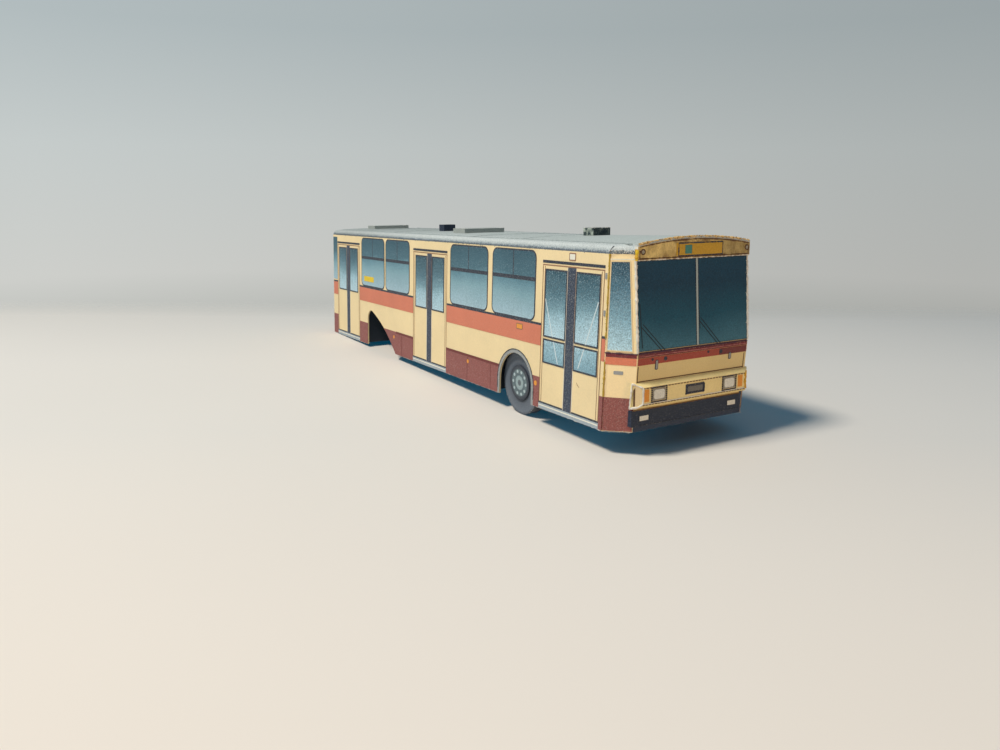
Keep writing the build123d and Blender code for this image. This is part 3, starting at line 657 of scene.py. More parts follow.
def rim_finish():
    """Printed wheel disc: grey hub, pale ring, a darker dish and a dark edge."""
    finish = Finish("rim_card", roughness=0.6)
    reach = finish.scaled(radial(finish), 0.0, 3.2 * MM)
    disc_colour = finish.ramp(reach, [
        (0.0, 92, 100, 104), (0.15, 100, 110, 114), (0.2, 152, 168, 170),
        (0.38, 144, 162, 164), (0.45, 86, 100, 106), (0.55, 98, 114, 118),
        (0.74, 104, 120, 124), (0.8, 68, 76, 84), (1.0, 48, 53, 64)])
    return covered(finish, inked(finish, disc_colour, 0.08, 0.05), 0.4)


tyre_card, rim_card = tyre_finish(), rim_finish()
wire = Finish("drawn_wire", roughness=0.35, specular=0.5)
wire.bsdf.inputs["Metallic"].default_value = 1.0
wire.colour(wire.mix(wire.noise(900.0, 3.0), rgb(150, 148, 144), rgb(196, 194, 190)))
wire = wire.material

# ---------------------------------------------------------------- finishes of the CAD nodes
NODE_FINISH = {
    "front_panel": cream_front, "rear_panel": cream_rear, "front_header": ochre_header, "roof": silver_roof,
    "front_wheel_well": inks.well_card, "rear_wheel_well": inks.well_card, "floor_front": inks.floor_card,
    "floor_middle": inks.floor_card, "floor_rear": inks.floor_card, "front_axle": wire,
    "lamp_panel": inks.lamp_panel_card, "front_bumper": inks.black_card, "rear_bumper": inks.black_card,
    "roof_vent": vent_card, "pole_plinth": silver_card, "pole_base": inks.black_card,
    "rear_roof_box": silver_card, "right_glass": right_side_glass, "left_glass": window_glass,
    "windscreen_panes": windscreen_glass, "corner_panes": corner_glass, "rear_pane": corner_glass,
    "corner_skirts": inks.maroon, "arch_lips": inks.lip, "door_sills": inks.sill,
    "waist_line": inks.plum_band, "waist_band": inks.front_red, "corner_bands": inks.corner_red,
    "headlamps": inks.lamp, "turn_lamps": inks.amber, "blank_plate": inks.line, "header_sign": inks.sign,
}
for side, name in SIDE_NAMES.items():
    NODE_FINISH.update({
        f"side_wall_{name}": cream_side[side], f"front_corner_{name}": corner_card(side, True),
        f"rear_corner_{name}": corner_card(side, False), f"front_bracket_{name}": inks.well_card,
        f"rear_bracket_{name}": inks.well_card, f"front_rim_{name}": rim_card,
        f"front_wheel_{name}": tyre_card, f"{name}_gaskets": inks.line, f"{name}_stripe": inks.stripe,
        f"{name}_skirt_print": inks.maroon,
    })
for node_name, material in NODE_FINISH.items():
    node_materials = frame["nodes"][node_name].data.materials
    node_materials.clear()
    node_materials.append(material)

# ---------------------------------------------------------------- trees for marks and worn edges


class Tree(Nodes):
    """Geometry Nodes tree with named inputs, which ends in realized instances and one material."""

    def __init__(self, name, **labels_of_kind):
        super().__init__(bpy.data.node_groups.new(name, "GeometryNodeTree"))
        interface = self.tree.interface
        interface.new_socket("Geometry", in_out="INPUT", socket_type="NodeSocketGeometry")
        interface.new_socket("Geometry", in_out="OUTPUT", socket_type="NodeSocketGeometry")
        self.identifiers = {}
        for kind, labels in {**labels_of_kind, "Material": ["Material"]}.items():
            for label in labels:
                socket = interface.new_socket(label, in_out="INPUT", socket_type=f"NodeSocket{kind}")
                self.identifiers[label] = socket.identifier
        self.inputs = self.node("NodeGroupInput")

    def curve(self):
        """The paths, as curves."""
        return self.node("GeometryNodeMeshToCurve", Mesh=self.inputs["Geometry"])[0]

    def points(self, mode, **spacing):
        """Points along the paths."""
        return self.node("GeometryNodeCurveToPoints", {"mode": mode}, Curve=self.curve(), **spacing)

    def instances(self, points, instance, **placing):
        """A copy at each point."""
        return self.node("GeometryNodeInstanceOnPoints", Points=points, Instance=instance, **placing)[0]

    def times(self, vector, factor):
        """A vector made longer by a factor."""
        return self.node("ShaderNodeVectorMath", {"operation": "SCALE"}, n0=vector, Scale=factor)[0]

    def close(self, geometry):
        """Ends the tree and hands it back."""
        realized = self.node("GeometryNodeRealizeInstances", Geometry=geometry)[0]
        dressed = self.node("GeometryNodeSetMaterial", Geometry=realized, Material=self.inputs["Material"])[0]
        self.node("NodeGroupOutput", Geometry=dressed)
        return self

    def grow(self, name, paths, material, slot, body="body", **values):
        """Runs the tree on paths of points and keeps the result as a plain mesh."""
        mesh = bpy.data.meshes.new(name + "_path")
        points = [tuple(point) for path in paths for point in path]
        edges, first = [], 0
        for path in paths:
            edges += [(first + i, first + i + 1) for i in range(len(path) - 1)]
            first += len(path)
        mesh.from_pydata(points, edges, [])
        carrier = bpy.data.objects.new(name + "_path", mesh)
        scene.collection.objects.link(carrier)
        modifier = carrier.modifiers.new("grow", "NODES")
        modifier.node_group = self.tree
        for label, value in {**values, "Material": material}.items():
            modifier[self.identifiers[label]] = value
        grown = bpy.data.meshes.new_from_object(carrier.evaluated_get(bpy.context.evaluated_depsgraph_get()))
        carrier.modifiers.remove(modifier)
        bpy.data.objects.remove(carrier)
        return dress(bpy.data.objects.new(name, grown), material, body)


def worn_edge_tree():
    """A thin uneven bead along each path: a worn fold, a raw card edge or a pen line."""
    tree = Tree("worn_edge", Float=("Step", "Radius", "Unevenness", "Wander", "Seed"))
    fine = tree.node("GeometryNodeResampleCurve", {"mode": "LENGTH"}, Curve=tree.curve(),
                     Length=tree.inputs["Step"])[0]
    noise = tree.node("ShaderNodeTexNoise", {"noise_dimensions": "4D"}, Scale=1500.0, Detail=2.0,
                      W=tree.inputs["Seed"])
    push = tree.times(tree.vector("SUBTRACT", noise["Color"], (0.5, 0.5, 0.5)), tree.inputs["Wander"])
    moved = tree.node("GeometryNodeSetPosition", Geometry=fine, Offset=push)[0]
    thin = tree.maths("SUBTRACT", 1.0, tree.inputs["Unevenness"])
    thick = tree.maths("ADD", 1.0, tree.inputs["Unevenness"])
    radius = tree.maths("MULTIPLY", tree.scaled(noise["Fac"], 0.35, 0.65, thin, thick), tree.inputs["Radius"])
    profile = tree.node("GeometryNodeCurvePrimitiveCircle", Resolution=6, Radius=1.0)[0]
    sized = tree.node("GeometryNodeSetCurveRadius", Curve=moved, Radius=radius)[0]
    return tree.close(tree.node("GeometryNodeCurveToMesh", Curve=sized, Profile_Curve=profile, Scale=radius,
                                Fill_Caps=True)[0])


def fleck_tree():
    """Small torn fibres and crumbs of print, strewn along each path."""
    tree = Tree("flecks", Int=("Count", "Seed"), Vector=("Spread",), Float=("Smallest", "Largest"))
    points = tree.points("COUNT", Count=tree.inputs["Count"])[0]
    spread, seed = tree.inputs["Spread"], tree.inputs["Seed"]
    push = tree.node("FunctionNodeRandomValue", {"data_type": "FLOAT_VECTOR"}, n0=tree.times(spread, -1.0),
                     n1=spread, Seed=seed)[0]
    strewn = tree.node("GeometryNodeSetPosition", Geometry=points, Offset=push)[0]
    size = tree.node("FunctionNodeRandomValue", {"data_type": "FLOAT"}, n2=tree.inputs["Smallest"],
                     n3=tree.inputs["Largest"], Seed=seed)[1]
    turn = tree.node("FunctionNodeRandomValue", {"data_type": "FLOAT_VECTOR"}, n0=(0.0, 0.0, 0.0),
                     n1=(6.28, 6.28, 6.28), Seed=seed)[0]
    crumb = tree.node("GeometryNodeMeshIcoSphere", Radius=1.0, Subdivisions=1)[0]
    flat = tree.node("GeometryNodeTransform", Geometry=crumb, Scale=(1.0, 0.45, 0.6))[0]
    return tree.close(tree.instances(strewn, flat, Rotation=turn, Scale=size))


def dash_tree():
    """A row of short printed dashes along each path."""
    tree = Tree("dashes", Float=("Pitch",), Vector=("Dash",))
    points = tree.points("LENGTH", Length=tree.inputs["Pitch"])
    along = tree.node("FunctionNodeAlignRotationToVector", {"axis": "X"}, Vector=points["Tangent"])[0]
    dash = tree.node("GeometryNodeMeshCube", Size=tree.inputs["Dash"])[0]
    return tree.close(tree.instances(points["Points"], dash, Rotation=along))


def hub_mark_tree():
    """Flat round marks in a ring about a hub, on the wheel's outer face."""
    tree = Tree("hub_marks", Int=("Count",), Float=("Ring", "Mark", "Thickness"), Vector=("Centre",))
    ring = tree.node("GeometryNodeMeshCircle", Vertices=tree.inputs["Count"], Radius=tree.inputs["Ring"])[0]
    mark = tree.node("GeometryNodeMeshCylinder", Vertices=12, Radius=tree.inputs["Mark"],
                     Depth=tree.inputs["Thickness"])[0]
    return tree.close(tree.node("GeometryNodeTransform", Geometry=tree.instances(ring, mark),
                                Rotation=(math.pi / 2, 0.0, 0.0), Translation=tree.inputs["Centre"])[0])


def slat_tree():
    """Slats side by side along each path."""
    tree = Tree("slats", Int=("Count",), Vector=("Slat",))
    points = tree.points("COUNT", Count=tree.inputs["Count"])[0]
    slat = tree.node("GeometryNodeMeshCube", Size=tree.inputs["Slat"])[0]
    return tree.close(tree.instances(points, slat))


WORN_EDGE, FLECKS, DASHES, HUB_MARKS, SLATS = (
    worn_edge_tree(), fleck_tree(), dash_tree(), hub_mark_tree(), slat_tree())


def worn_edge(name, paths, material, slot, radius, unevenness, wander, seed):
    """Uneven bead along paths, sizes in mm."""
    return WORN_EDGE.grow(name, paths, material, slot, Step=0.12 * MM, Radius=radius * MM,
                          Unevenness=unevenness, Wander=wander * MM, Seed=seed)


def flecks(name, paths, material, slot, count, spread, smallest, largest, seed, body="body"):
    """Crumbs along paths, sizes in mm, count to a path."""
    return FLECKS.grow(name, paths, material, slot, body, Count=count, Spread=[size * MM for size in spread],
                       Smallest=smallest * MM, Largest=largest * MM, Seed=seed)


def dashes(name, paths, material, slot, pitch, length, width):
    """Dashed lines, sizes in mm."""
    return DASHES.grow(name, paths, material, slot, Pitch=pitch * MM,
                       Dash=[size * MM for size in (length, width, width)])


def path_on(face, points, lift=INK, step=1.0):
    """Points of the row's frame along straight runs on a face, close enough to follow its curve."""
    path = []
    for a, b in zip(points, points[1:]):
        parts = max(1, math.ceil(math.dist(a, b) / step))
        path += [face.at(a[0] + (b[0] - a[0]) * i / parts, a[1] + (b[1] - a[1]) * i / parts, lift)
                 for i in range(parts)]
    return path + [face.at(*points[-1], lift)]


def loop_on(face, loop, lift=INK, step=1.0):
    """Points of the row's frame once round an outline on a face."""
    return path_on(face, [*loop, loop[0]], lift, step)


# ---------------------------------------------------------------- doors, on the right-hand side only
SILL_TOP = 0.95
DOOR_TOP = 24.3
PANE_START = 1.35           # the panes begin this far from the door's middle
HIGH_PANE = (12.6, 23.75)
LOW_PANE = (8.15, 12.05)
PANE_FRAME = 0.12           # the frame laps the pane's edge by as much
FRAME_WIDTH = 0.26
SEAL_HALF = 1.05
RAILS = (((20.75, 18.9), (16.6, 8.4)), ((6.3, 19.6), (10.9, 8.6)))      # top and foot of each


def door_print():
    """Outlines, pane frames and the rubber seal down the middle of each door."""
    outlines, frames, pale, brown, seals = [], [], [], [], []
    for middle, half, reach in DOORS:
        front, rear = middle - half + 0.05, middle + half - 0.05
        outlines += [bar(front, front + 0.16, 1.2, 24.5), bar(rear - 0.16, rear, 1.2, 24.5),
                     bar(front, rear, 24.42, 24.6)]
        seals.append(bar(middle - SEAL_HALF, middle + SEAL_HALF, SILL_TOP + 0.02, 24.38))
        levels = (HIGH_PANE, LOW_PANE) if middle == DOORS[0][0] else (HIGH_PANE,)
        for side in SIDES:
            near, far = sorted((middle + side * PANE_START, middle + side * reach))
            for foot, top in levels:
                frames += frame_bars(near - PANE_FRAME, far + PANE_FRAME, foot - PANE_FRAME, top + PANE_FRAME,
                                     FRAME_WIDTH)
            for lines, start, width, foot in ((pale, SEAL_HALF + 0.1, 0.14, 1.0),
                                              (brown, half - 0.75, 0.1, 1.3), (brown, SEAL_HALF, 0.09, 1.0)):
                ends = sorted((middle + side * start, middle + side * (start + width)))
                lines.append(bar(*ends, foot, DOOR_TOP))
    prints_on(RIGHT,
              ("door_seals", inks.seal, "line_print", seals, ON_INK, 0.02),
              ("door_outlines", inks.brown, "line_print", outlines + brown, CARD_LIFT, 0.05),
              ("door_pane_frames", inks.line, "line_print", frames, CARD_LIFT, 0.09),
              ("door_seal_edges", inks.pale, "sign_print", pale, CARD_LIFT, 0.05))


def door_rails():
    """Whitish handrails seen through the front door's panes, broken at its cross bar."""
    rails = []
    for top, foot in RAILS:
        top, foot = Vector(top), Vector(foot)
        for high, low in ((top.y, HIGH_PANE[0]), (LOW_PANE[1], foot.y)):
            ends = [top.lerp(foot, (top.y - level) / (top.y - foot.y)) for level in (high, low)]
            rails.append(stroke(*ends, 0.2))
    print_on("door_rails", inks.rail, [(RIGHT, rails)], ON_INK, 0.04)


def door_small_print():
    """Lamp over the front door, hinge marks, sill lines and a scratch."""
    rim, lamp = rounded(12.65, 14.45, 25.5, 26.75, 0.2), rounded(12.83, 14.27, 25.68, 26.57, 0.12)
    hinges = [rounded(4.58, 4.95, height - 0.45, height + 0.45, 0.1) for height in (18.1, 23.7)]
    dark = [bar(middle - half, middle + half, SILL_TOP + 0.02, SILL_TOP + 0.3) for middle, half, _ in DOORS]
    light = [bar(middle - half + 0.1, middle + half - 0.1, 0.5, 0.72) for middle, half, _ in DOORS]
    scratch = [stroke((11.15, 6.27), (10.93, 5.92), 0.1), stroke((10.95, 5.95), (10.42, 5.62), 0.1)]
    prints_on(RIGHT,
              ("door_lamp", inks.pale, "lamp_print", [lamp], CARD_LIFT, 0.07),
              ("door_lamp_rim", inks.brown, "line_print", [band(rim, lamp)], CARD_LIFT, 0.07),
              ("door_hinges", inks.lip, "lip_print", hinges, CARD_LIFT, 0.12),
              ("sill_shadow_lines", inks.line, "line_print", dark, CARD_LIFT, 0.05),
              ("sill_light_lines", inks.pale, "sill_print", light, ON_INK, 0.03),
              ("door_scratch", inks.brown, "line_print", scratch, CARD_LIFT, 0.03))


# ---------------------------------------------------------------- side walls
SKIRT_TOP = 5.35
ARCH_RADIUS, ARCH_HEIGHT, ARCH_LIP = 5.45, 2.9, 0.65
ARCH_STEPS = 24
SKIRT_EDGES = ((4.4, 24.2), (35.3, 83.6), (101.5, 126.8))       # between the arches
SKIRT_FLAPS = {-1: (38.6, 47.9, 80.2), 1: (9.6, 17.5, 38.6, 47.9, 58.4, 67.3, 80.2, 112.0, 120.5)}
SKIRT_LINES = {-1: ((35.3, 57.1), (73.9, 83.4)), 1: ((35.3, 57.1), (57.3, 83.4))}


def arch_path(side, reach):
    """Points over the front wheel arch at a distance from its centre."""
    turns = [i * math.pi / ARCH_STEPS for i in range(ARCH_STEPS + 1)]
    arc = [(AXLE_STATION + reach * math.cos(turn), ARCH_HEIGHT + reach * math.sin(turn)) for turn in turns]
    ends = (AXLE_STATION + reach, SILL_TOP), (AXLE_STATION - reach, SILL_TOP)
    return path_on(side_face(side), [ends[0], *arc, ends[1]])


def skirt_print():
    """Lines of the flaps in the skirt, and the worn edge of the front arches."""
    faces = []
    for side, stations in SKIRT_FLAPS.items():
        lines = [bar(s - 0.07, s + 0.07, 0.3, SKIRT_TOP - 0.5) for s in stations]
        lines += [bar(front, rear, SKIRT_TOP - 0.42, SKIRT_TOP + 0.08) for front, rear in SKIRT_LINES[side]]
        faces.append((side_face(side), lines))
    print_on("skirt_flap_lines", inks.dark_red, faces, ON_INK, 0.03)
    outer = [arch_path(side, ARCH_RADIUS + ARCH_LIP + 0.02) for side in SIDES]
    worn = [arch_path(side, ARCH_RADIUS + 0.12) for side in SIDES]
    worn_edge("arch_outlines", outer, inks.line, "line_print", 0.08, 0.3, 0.05, 3.0)
    flecks("arch_edge_flecks", worn, paper_edge, "cream_card", 60, (0.12, 0.04, 0.12), 0.04, 0.11, 11)


def side_small_print():
    """Side lamps, reflectors and a plain sticker."""
    lamp = rounded(27.8, 29.6, 12.9, 13.65, 0.12)
    rim = band(rounded(27.65, 29.75, 12.75, 13.8, 0.2), lamp)
    rounds = [disc(23.0, 4.1, 0.45), disc(47.6, 4.0, 0.4), disc(84.6, 4.0, 0.4)]
    for name, material, slot, loops in (("markers", inks.amber, "amber_print", [lamp]),
                                        ("marker_rims", inks.brown, "line_print", [rim]),
                                        ("reflectors", inks.amber, "amber_print", rounds)):
        print_on(f"side_{name}", material, [(side_face(side), loops) for side in SIDES], ON_INK, 0.04)
    sticker = rounded(97.2, 103.6, 15.9, 17.2, 0.2)
    print_on("window_sticker", inks.pen_yellow, [(RIGHT, [sticker])], ON_INK, 0.04)


# ---------------------------------------------------------------- front
PANEL_HALF = FRONT_HALF - 0.1
DIVIDER = 0.55              # middle of the bar between the windscreen's panes
DIVIDER_HALF = 0.17
LAMP_SHIFT = -0.25          # the lamps' print lies this far right of the middle
LAMP_OUT = 7.4
BUMPER_LAMPS = ((-10.5, -8.75), (8.05, 9.85))
BUMPER_LAMP_LEVELS = (1.75, 2.5)
WIPER_ARMS = (((-10.97, 19.7), (-10.63, 13.1), 0.14), ((-10.4, 16.6), (-6.25, 12.45), 0.13),
              ((-10.7, 16.2), (-6.85, 12.4), 0.13), ((1.2, 16.8), (5.4, 12.4), 0.13),
              ((0.95, 16.3), (4.8, 12.4), 0.13), ((0.86, 17.95), (1.04, 15.1), 0.1))
WIPER_PIVOTS = ((-6.0, 11.1, 0.33), (5.65, 11.05, 0.33), (-8.6, 11.2, 0.2), (2.9, 11.25, 0.2))


def windscreen_print():
    """Lines round the windscreen's panes, the bar between them, and the wipers."""
    foot, top = PANE_LEVELS[0], HEADER_FOOT - 0.1
    frames = [bar(-PANEL_HALF, PANEL_HALF, foot - 0.04, foot + 0.04),
              bar(-PANEL_HALF, PANEL_HALF, top - 0.12, top + 0.04)]
    for near, far in ((-PANEL_HALF, -PANEL_HALF + 0.12), (PANEL_HALF - 0.12, PANEL_HALF),
                      (DIVIDER - 0.3, DIVIDER - DIVIDER_HALF), (DIVIDER + DIVIDER_HALF, DIVIDER + 0.3)):
        frames.append(bar(near, far, foot, top))
    foot_print = [bar(-PANEL_HALF, PANEL_HALF, WAIST, 12.48)]
    divider = [bar(DIVIDER - DIVIDER_HALF, DIVIDER + DIVIDER_HALF, foot, top + 0.02)]
    arms = [stroke(*arm) for arm in WIPER_ARMS]
    prints_on(WINDSCREEN,
              ("windscreen_frame_lines", inks.line, "line_print", frames, ON_INK, 0.03),
              ("windscreen_divider", inks.divider, "lamp_print", divider, CARD_LIFT, 0.09),
              ("windscreen_foot_print", inks.plum, "line_print", foot_print, CARD_LIFT, 0.04),
              ("wipers", inks.wiper, "line_print", arms, ON_INK, 0.05))


def lower_front_print():
    """Wiper pivots, seams, a painted shadow line over the lamp panel, clips, and the foot of the lower front
    printed dark as painted shadow.
    """
    red = [bar(5.3, PANEL_HALF - 0.02, 10.47, 11.53)]
    pivots = [disc(*pivot) for pivot in WIPER_PIVOTS]
    # the last bar is painted shadow: a dark line along the top of the lamp panel, where it meets the lower front
    seams = [bar(-11.35, -11.2, 4.0, 10.3), bar(10.95, 11.1, 4.0, 10.3), bar(-11.3, 11.1, 7.85, 8.02)]
    clips = [rounded(-7.88, -7.52, 9.65, 10.95, 0.12), rounded(7.57, 7.93, 9.7, 10.6, 0.12)]
    rims = [rounded(-7.98, -7.42, 9.52, 11.08, 0.18), rounded(7.47, 8.03, 9.57, 10.73, 0.18)]
    # painted shadow: the foot of the lower front, and its right end beside the bumper, are printed as dark as the
    # bumper so that they merge with the shade under it
    ends = [bar(10.85, PANEL_HALF, 0.1, 3.75), bar(-PANEL_HALF, PANEL_HALF, 0.02, 0.93)]
    prints_on(LOWER_FRONT,
              ("waist_band_shade", inks.dark_red, "waist_print", red, ON_INK, 0.02),
              ("wiper_pivots", inks.line, "line_print", pivots, ON_INK, 0.06),
              ("front_seams_and_shadow_line", inks.seam, "line_print", seams, CARD_LIFT, 0.04),
              ("front_clips", inks.lip, "lip_print", clips, ON_INK, 0.06),
              ("front_clip_rims", inks.line, "line_print", list(map(band, rims, clips)), ON_INK, 0.05),
              ("front_foot_painted_shadow", inks.foot, "line_print", ends, CARD_LIFT, 0.04))


def lamp_panel_print():
    """Lamp and plate frames, brow and fold lines."""
    frames, cores, bezels = [], [], []
    for middle in (LAMP_SHIFT - LAMP_OUT, LAMP_SHIFT + LAMP_OUT):
        core = rounded(middle - 1.05, middle + 1.05, 5.15, 6.6, 0.35)
        cores.append(core)
        bezels.append(band(rounded(middle - 1.3, middle + 1.3, 4.92, 6.82, 0.2), core))
        frames.append(loop_on(LAMPS, bar(middle - 1.48, middle + 1.48, 4.76, 6.98), INK, 0.4))
    prints_on(LAMPS,
              ("headlamp_cores", inks.lamp_core, "lamp_print", cores, ON_INK, 0.05),
              ("headlamp_bezels", inks.bezel, "line_print", bezels, ON_INK, 0.04))
    dashes("headlamp_frames", frames, inks.line, "line_print", 0.3, 0.24, 0.17)
    brow = [path_on(LAMPS, [(-10.6, level), (10.6, level)], lift)
            for level, lift in ((7.02, 0.02), (4.42, -0.06))]
    dashes("brow_dashes", brow, inks.brown_dark, "line_print", 0.62, 0.42, 0.14)
    fold = [path_on(LAMPS, [(-10.65, 4.6), (10.65, 4.6)], 0.0)]
    worn_edge("lamp_panel_fold", fold, inks.pale, "sign_print", 0.09, 0.3, 0.04, 5.0)
    plate = loop_on(LAMPS, bar(LAMP_SHIFT - 1.9, LAMP_SHIFT + 1.9, 5.18, 6.57), INK, 0.4)
    dashes("plate_frame", [plate], inks.line, "line_print", 0.26, 0.26, 0.16)
    plate_face = [rounded(LAMP_SHIFT - 1.55, LAMP_SHIFT + 1.55, 5.47, 6.28, 0.1)]
    print_on("plate_face", inks.plate, [(LAMPS, plate_face)], ON_INK, 0.04)


def lamp_panel_ends():
    """Print, a strip of painted shade and a raw rim on the slanted ends of the folded lamp panel."""
    rims, ends, shade_strips = [], [], []
    for side in SIDES:
        run = Vector((0.91, -side * 1.3, 0)).normalized()
        face = FlatFace((-0.31, side * 12.0, 0), run, (0, 0, 1), (1.3, side * 0.91, 0))
        if side < 0:
            rim = [(-0.5, 3.9), (0.85, 4.15), (1.55, 4.65), (1.55, 7.1), (-0.15, 7.75)]
            rims.append(loop_on(face, rim, 0.0, 0.4))
        ends.append((face, [[(0.12, 4.1), (1.45, 4.75), (1.45, 7.0), (0.12, 7.6)]]))
        # painted shade: a dark strip along the inner edge of each end, where it meets the corner
        shade_strips.append((face, [[(0.05, 4.3), (0.32, 4.3), (0.32, 7.2), (0.05, 6.8)]]))
    print_on("lamp_panel_ends", inks.cream, ends, CARD_LIFT, 0.04)
    print_on("lamp_panel_end_shades", inks.seam, shade_strips, CARD_LIFT, 0.06)
    worn_edge("lamp_panel_rims", rims, paper_edge, "cream_card", 0.15, 0.4, 0.1, 7.0)


def pen_marks():
    """Dabs of yellow pen on raw ends at the front."""
    dabs = [[face.at(across, height, lift) for height in heights]
            for face, across, lift, heights in ((HEADER, -11.5, -0.3, (26.05, 26.8, 27.7)),
                                                (LAMPS, 10.8, -0.12, (4.7, 5.8, 7.1)),
                                                (LAMPS, 11.3, -0.5, (4.4, 5.8, 7.3)))]
    worn_edge("pen_marks", dabs, inks.pen_ochre, "sign_print", 0.26, 0.4, 0.16, 61.0)


def bumper_print():
    """Blank lamps in the bumper, and its worn edges."""
    foot, top = BUMPER_LAMP_LEVELS
    lamps = [bar(a, b, foot, top) for a, b in BUMPER_LAMPS]
    rims = [band(bar(a - 0.12, b + 0.12, foot - 0.12, top + 0.12), lamp)
            for (a, b), lamp in zip(BUMPER_LAMPS, lamps)]
    prints_on(BUMPER,
              ("bumper_lamps", inks.lamp_core, "lamp_print", lamps, CARD_LIFT, 0.05),
              ("bumper_lamp_rims", inks.line, "line_print", rims, CARD_LIFT, 0.06))
    for name, start, height, material, wander, seed in (("top", -11.9, 3.48, inks.brown_dark, 0.05, 9.0),
                                                        ("foot", -12.0, 0.98, inks.line, 0.06, 10.0)):
        edge = [path_on(BUMPER, [(start, height), (10.7, height)], -0.02)]
        worn_edge(f"bumper_{name}_edge", edge, material, "line_print", 0.07, 0.5, wander, seed)


# ---------------------------------------------------------------- header
HEADER_STATION = 0.8
HEADER_REACH = 11.3
SIGN_LEVELS = (26.57, 28.25)
HEADER_LAMPS = ((-10.55, 27.3), (10.85, 27.3))


def header_top(across):
    """Height of the header's arched top edge."""
    return ROOF.height(HEADER_STATION, across)


def header_print():
    """Raw top edge, dark border, blank sign field and small lamps of the header board."""
    span = [-HEADER_REACH + i * 2 * HEADER_REACH / 24 for i in range(25)]
    edge = [HEADER.at(y, header_top(y) - 0.02, -0.12) for y in span]
    worn_edge("header_raw_edge", [edge], rubbed_edge, "cream_card", 0.17, 0.35, 0.08, 13.0)
    flecks("header_edge_flecks", [edge], inks.brown_dark, "line_print", 230, (0.14, 0.1, 0.16), 0.05, 0.12,
           17)
    inside = [HEADER.at(y * 0.985, header_top(y) - 0.42, 0.0) for y in span]
    foot = path_on(HEADER, [(-HEADER_REACH, HEADER_FOOT + 0.2), (HEADER_REACH, HEADER_FOOT + 0.2)], 0.0)
    ends = [path_on(HEADER, [(y, HEADER_FOOT + 0.2), (y, HEADER_MIDDLE)], 0.0) for y in (-11.15, 11.15)]
    worn_edge("header_border", [inside, foot, *ends], inks.seam, "line_print", 0.1, 0.5, 0.06, 15.0)
    below = [path_on(HEADER, [(-11.4, HEADER_FOOT + 0.02), (11.4, HEADER_FOOT + 0.02)], -0.1)]
    worn_edge("header_foot_edge", below, paper_edge, "cream_card", 0.1, 0.5, 0.06, 19.0)
    box = [loop_on(HEADER, bar(-3.65, 5.45, 26.47, 28.35), 0.0)]
    worn_edge("sign_border", box, inks.line, "line_print", 0.11, 0.3, 0.04, 21.0)
    ground = [bar(-3.55, -2.45, *SIGN_LEVELS), bar(-0.9, 5.35, *SIGN_LEVELS)]
    lamps = [disc(*place, 0.26) for place in HEADER_LAMPS]
    rings = [band(disc(*place, 0.46), lamp) for place, lamp in zip(HEADER_LAMPS, lamps)]
    prints_on(HEADER,
              ("sign_square", inks.teal, "sign_print", [bar(-2.35, -1.0, 26.75, 28.05)], CARD_LIFT, 0.1),
              ("sign_ground", inks.sign, "sign_print", ground, CARD_LIFT, 0.09),
              ("header_lamps", inks.bezel, "lamp_print", lamps, CARD_LIFT, 0.06),
              ("header_lamp_rings", inks.seam, "line_print", rings, CARD_LIFT, 0.06))
    left_end = [path_on(HEADER, [(-11.52, 26.05), (-11.52, 27.6)], -0.2)]
    worn_edge("header_pen_end", left_end, inks.pen_yellow, "sign_print", 0.24, 0.35, 0.12, 23.0)


# ---------------------------------------------------------------- folds and raw edges
def fold_run(corner, which, heights):
    """Points down a corner's side fold, which is 0, or its end fold, 1."""
    return [row_point(corner.folds(height)[which]) for height in heights]


def fold_lines():
    """Worn white folds, yellow pen on the front corners and dark crumbs of print."""
    panes = [fold_run(corner, 1, (12.35, 16, 20, 24, 26.0)) for corner in CORNERS]
    pens = [fold_run(corner, 0, heights) for corner in CORNERS
            for heights in ((5.4, 7, 9, 10.8), (14.4, 17, 20, 23, 27.0))]
    darks = [fold_run(corner, 0, (0.2, 5, 10, 15, 20, 26.8)) for corner in CORNERS]
    feet = [[row_point(point) for point in corner.folds(0.0)] for corner in CORNERS]
    lower = [fold_run(corner, 0, (0.1, 5.3)) for corner in CORNERS]
    worn_edge("windscreen_fold_edges", panes, paper_edge, "cream_card", 0.2, 0.35, 0.08, 25.0)
    flecks("windscreen_fold_flecks", panes, paper_edge, "cream_card", 90, (0.12, 0.3, 0.1), 0.05, 0.13, 27)
    worn_edge("corner_pen_lines", pens, inks.pen_olive, "sign_print", 0.15, 0.4, 0.08, 29.0)
    flecks("corner_fold_flecks", darks, inks.brown_dark, "line_print", 150, (0.2, 0.12, 0.1), 0.04, 0.1, 31)
    flecks("corner_foot_flecks", feet, paper_edge, "cream_card", 46, (0.15, 0.15, 0.1), 0.05, 0.14, 33)
    worn_edge("corner_skirt_folds", lower, inks.dark_red, "skirt_print", 0.1, 0.3, 0.06, 35.0)


def waist_fold():
    """Purple print on the fold under the windscreen, with a light line in it."""
    across = (-PANEL_HALF, -6, 0, 6, PANEL_HALF)
    run = [WINDSCREEN.at(y, WAIST + 0.06) for y in across]
    corner = [row_point(point) for point in RIGHT_CORNER.folds(WAIST)]
    worn_edge("waist_fold_print", [run, corner], inks.plum, "line_print", 0.13, 0.35, 0.06, 37.0)
    light = [[LOWER_FRONT.at(y, 11.85, INK) for y in across]]
    worn_edge("waist_light_line", light, inks.rose, "waist_print", 0.07, 0.5, 0.05, 39.0)


def skirt_edges():
    """Raw card along the lower edge of the side walls."""
    paths = [path_on(side_face(side), [(front, 0.02), (rear, 0.02)], -0.1, 4.0)
             for side in SIDES for front, rear in SKIRT_EDGES]
    worn_edge("skirt_raw_edges", paths, paper_edge, "cream_card", 0.11, 0.5, 0.08, 41.0)


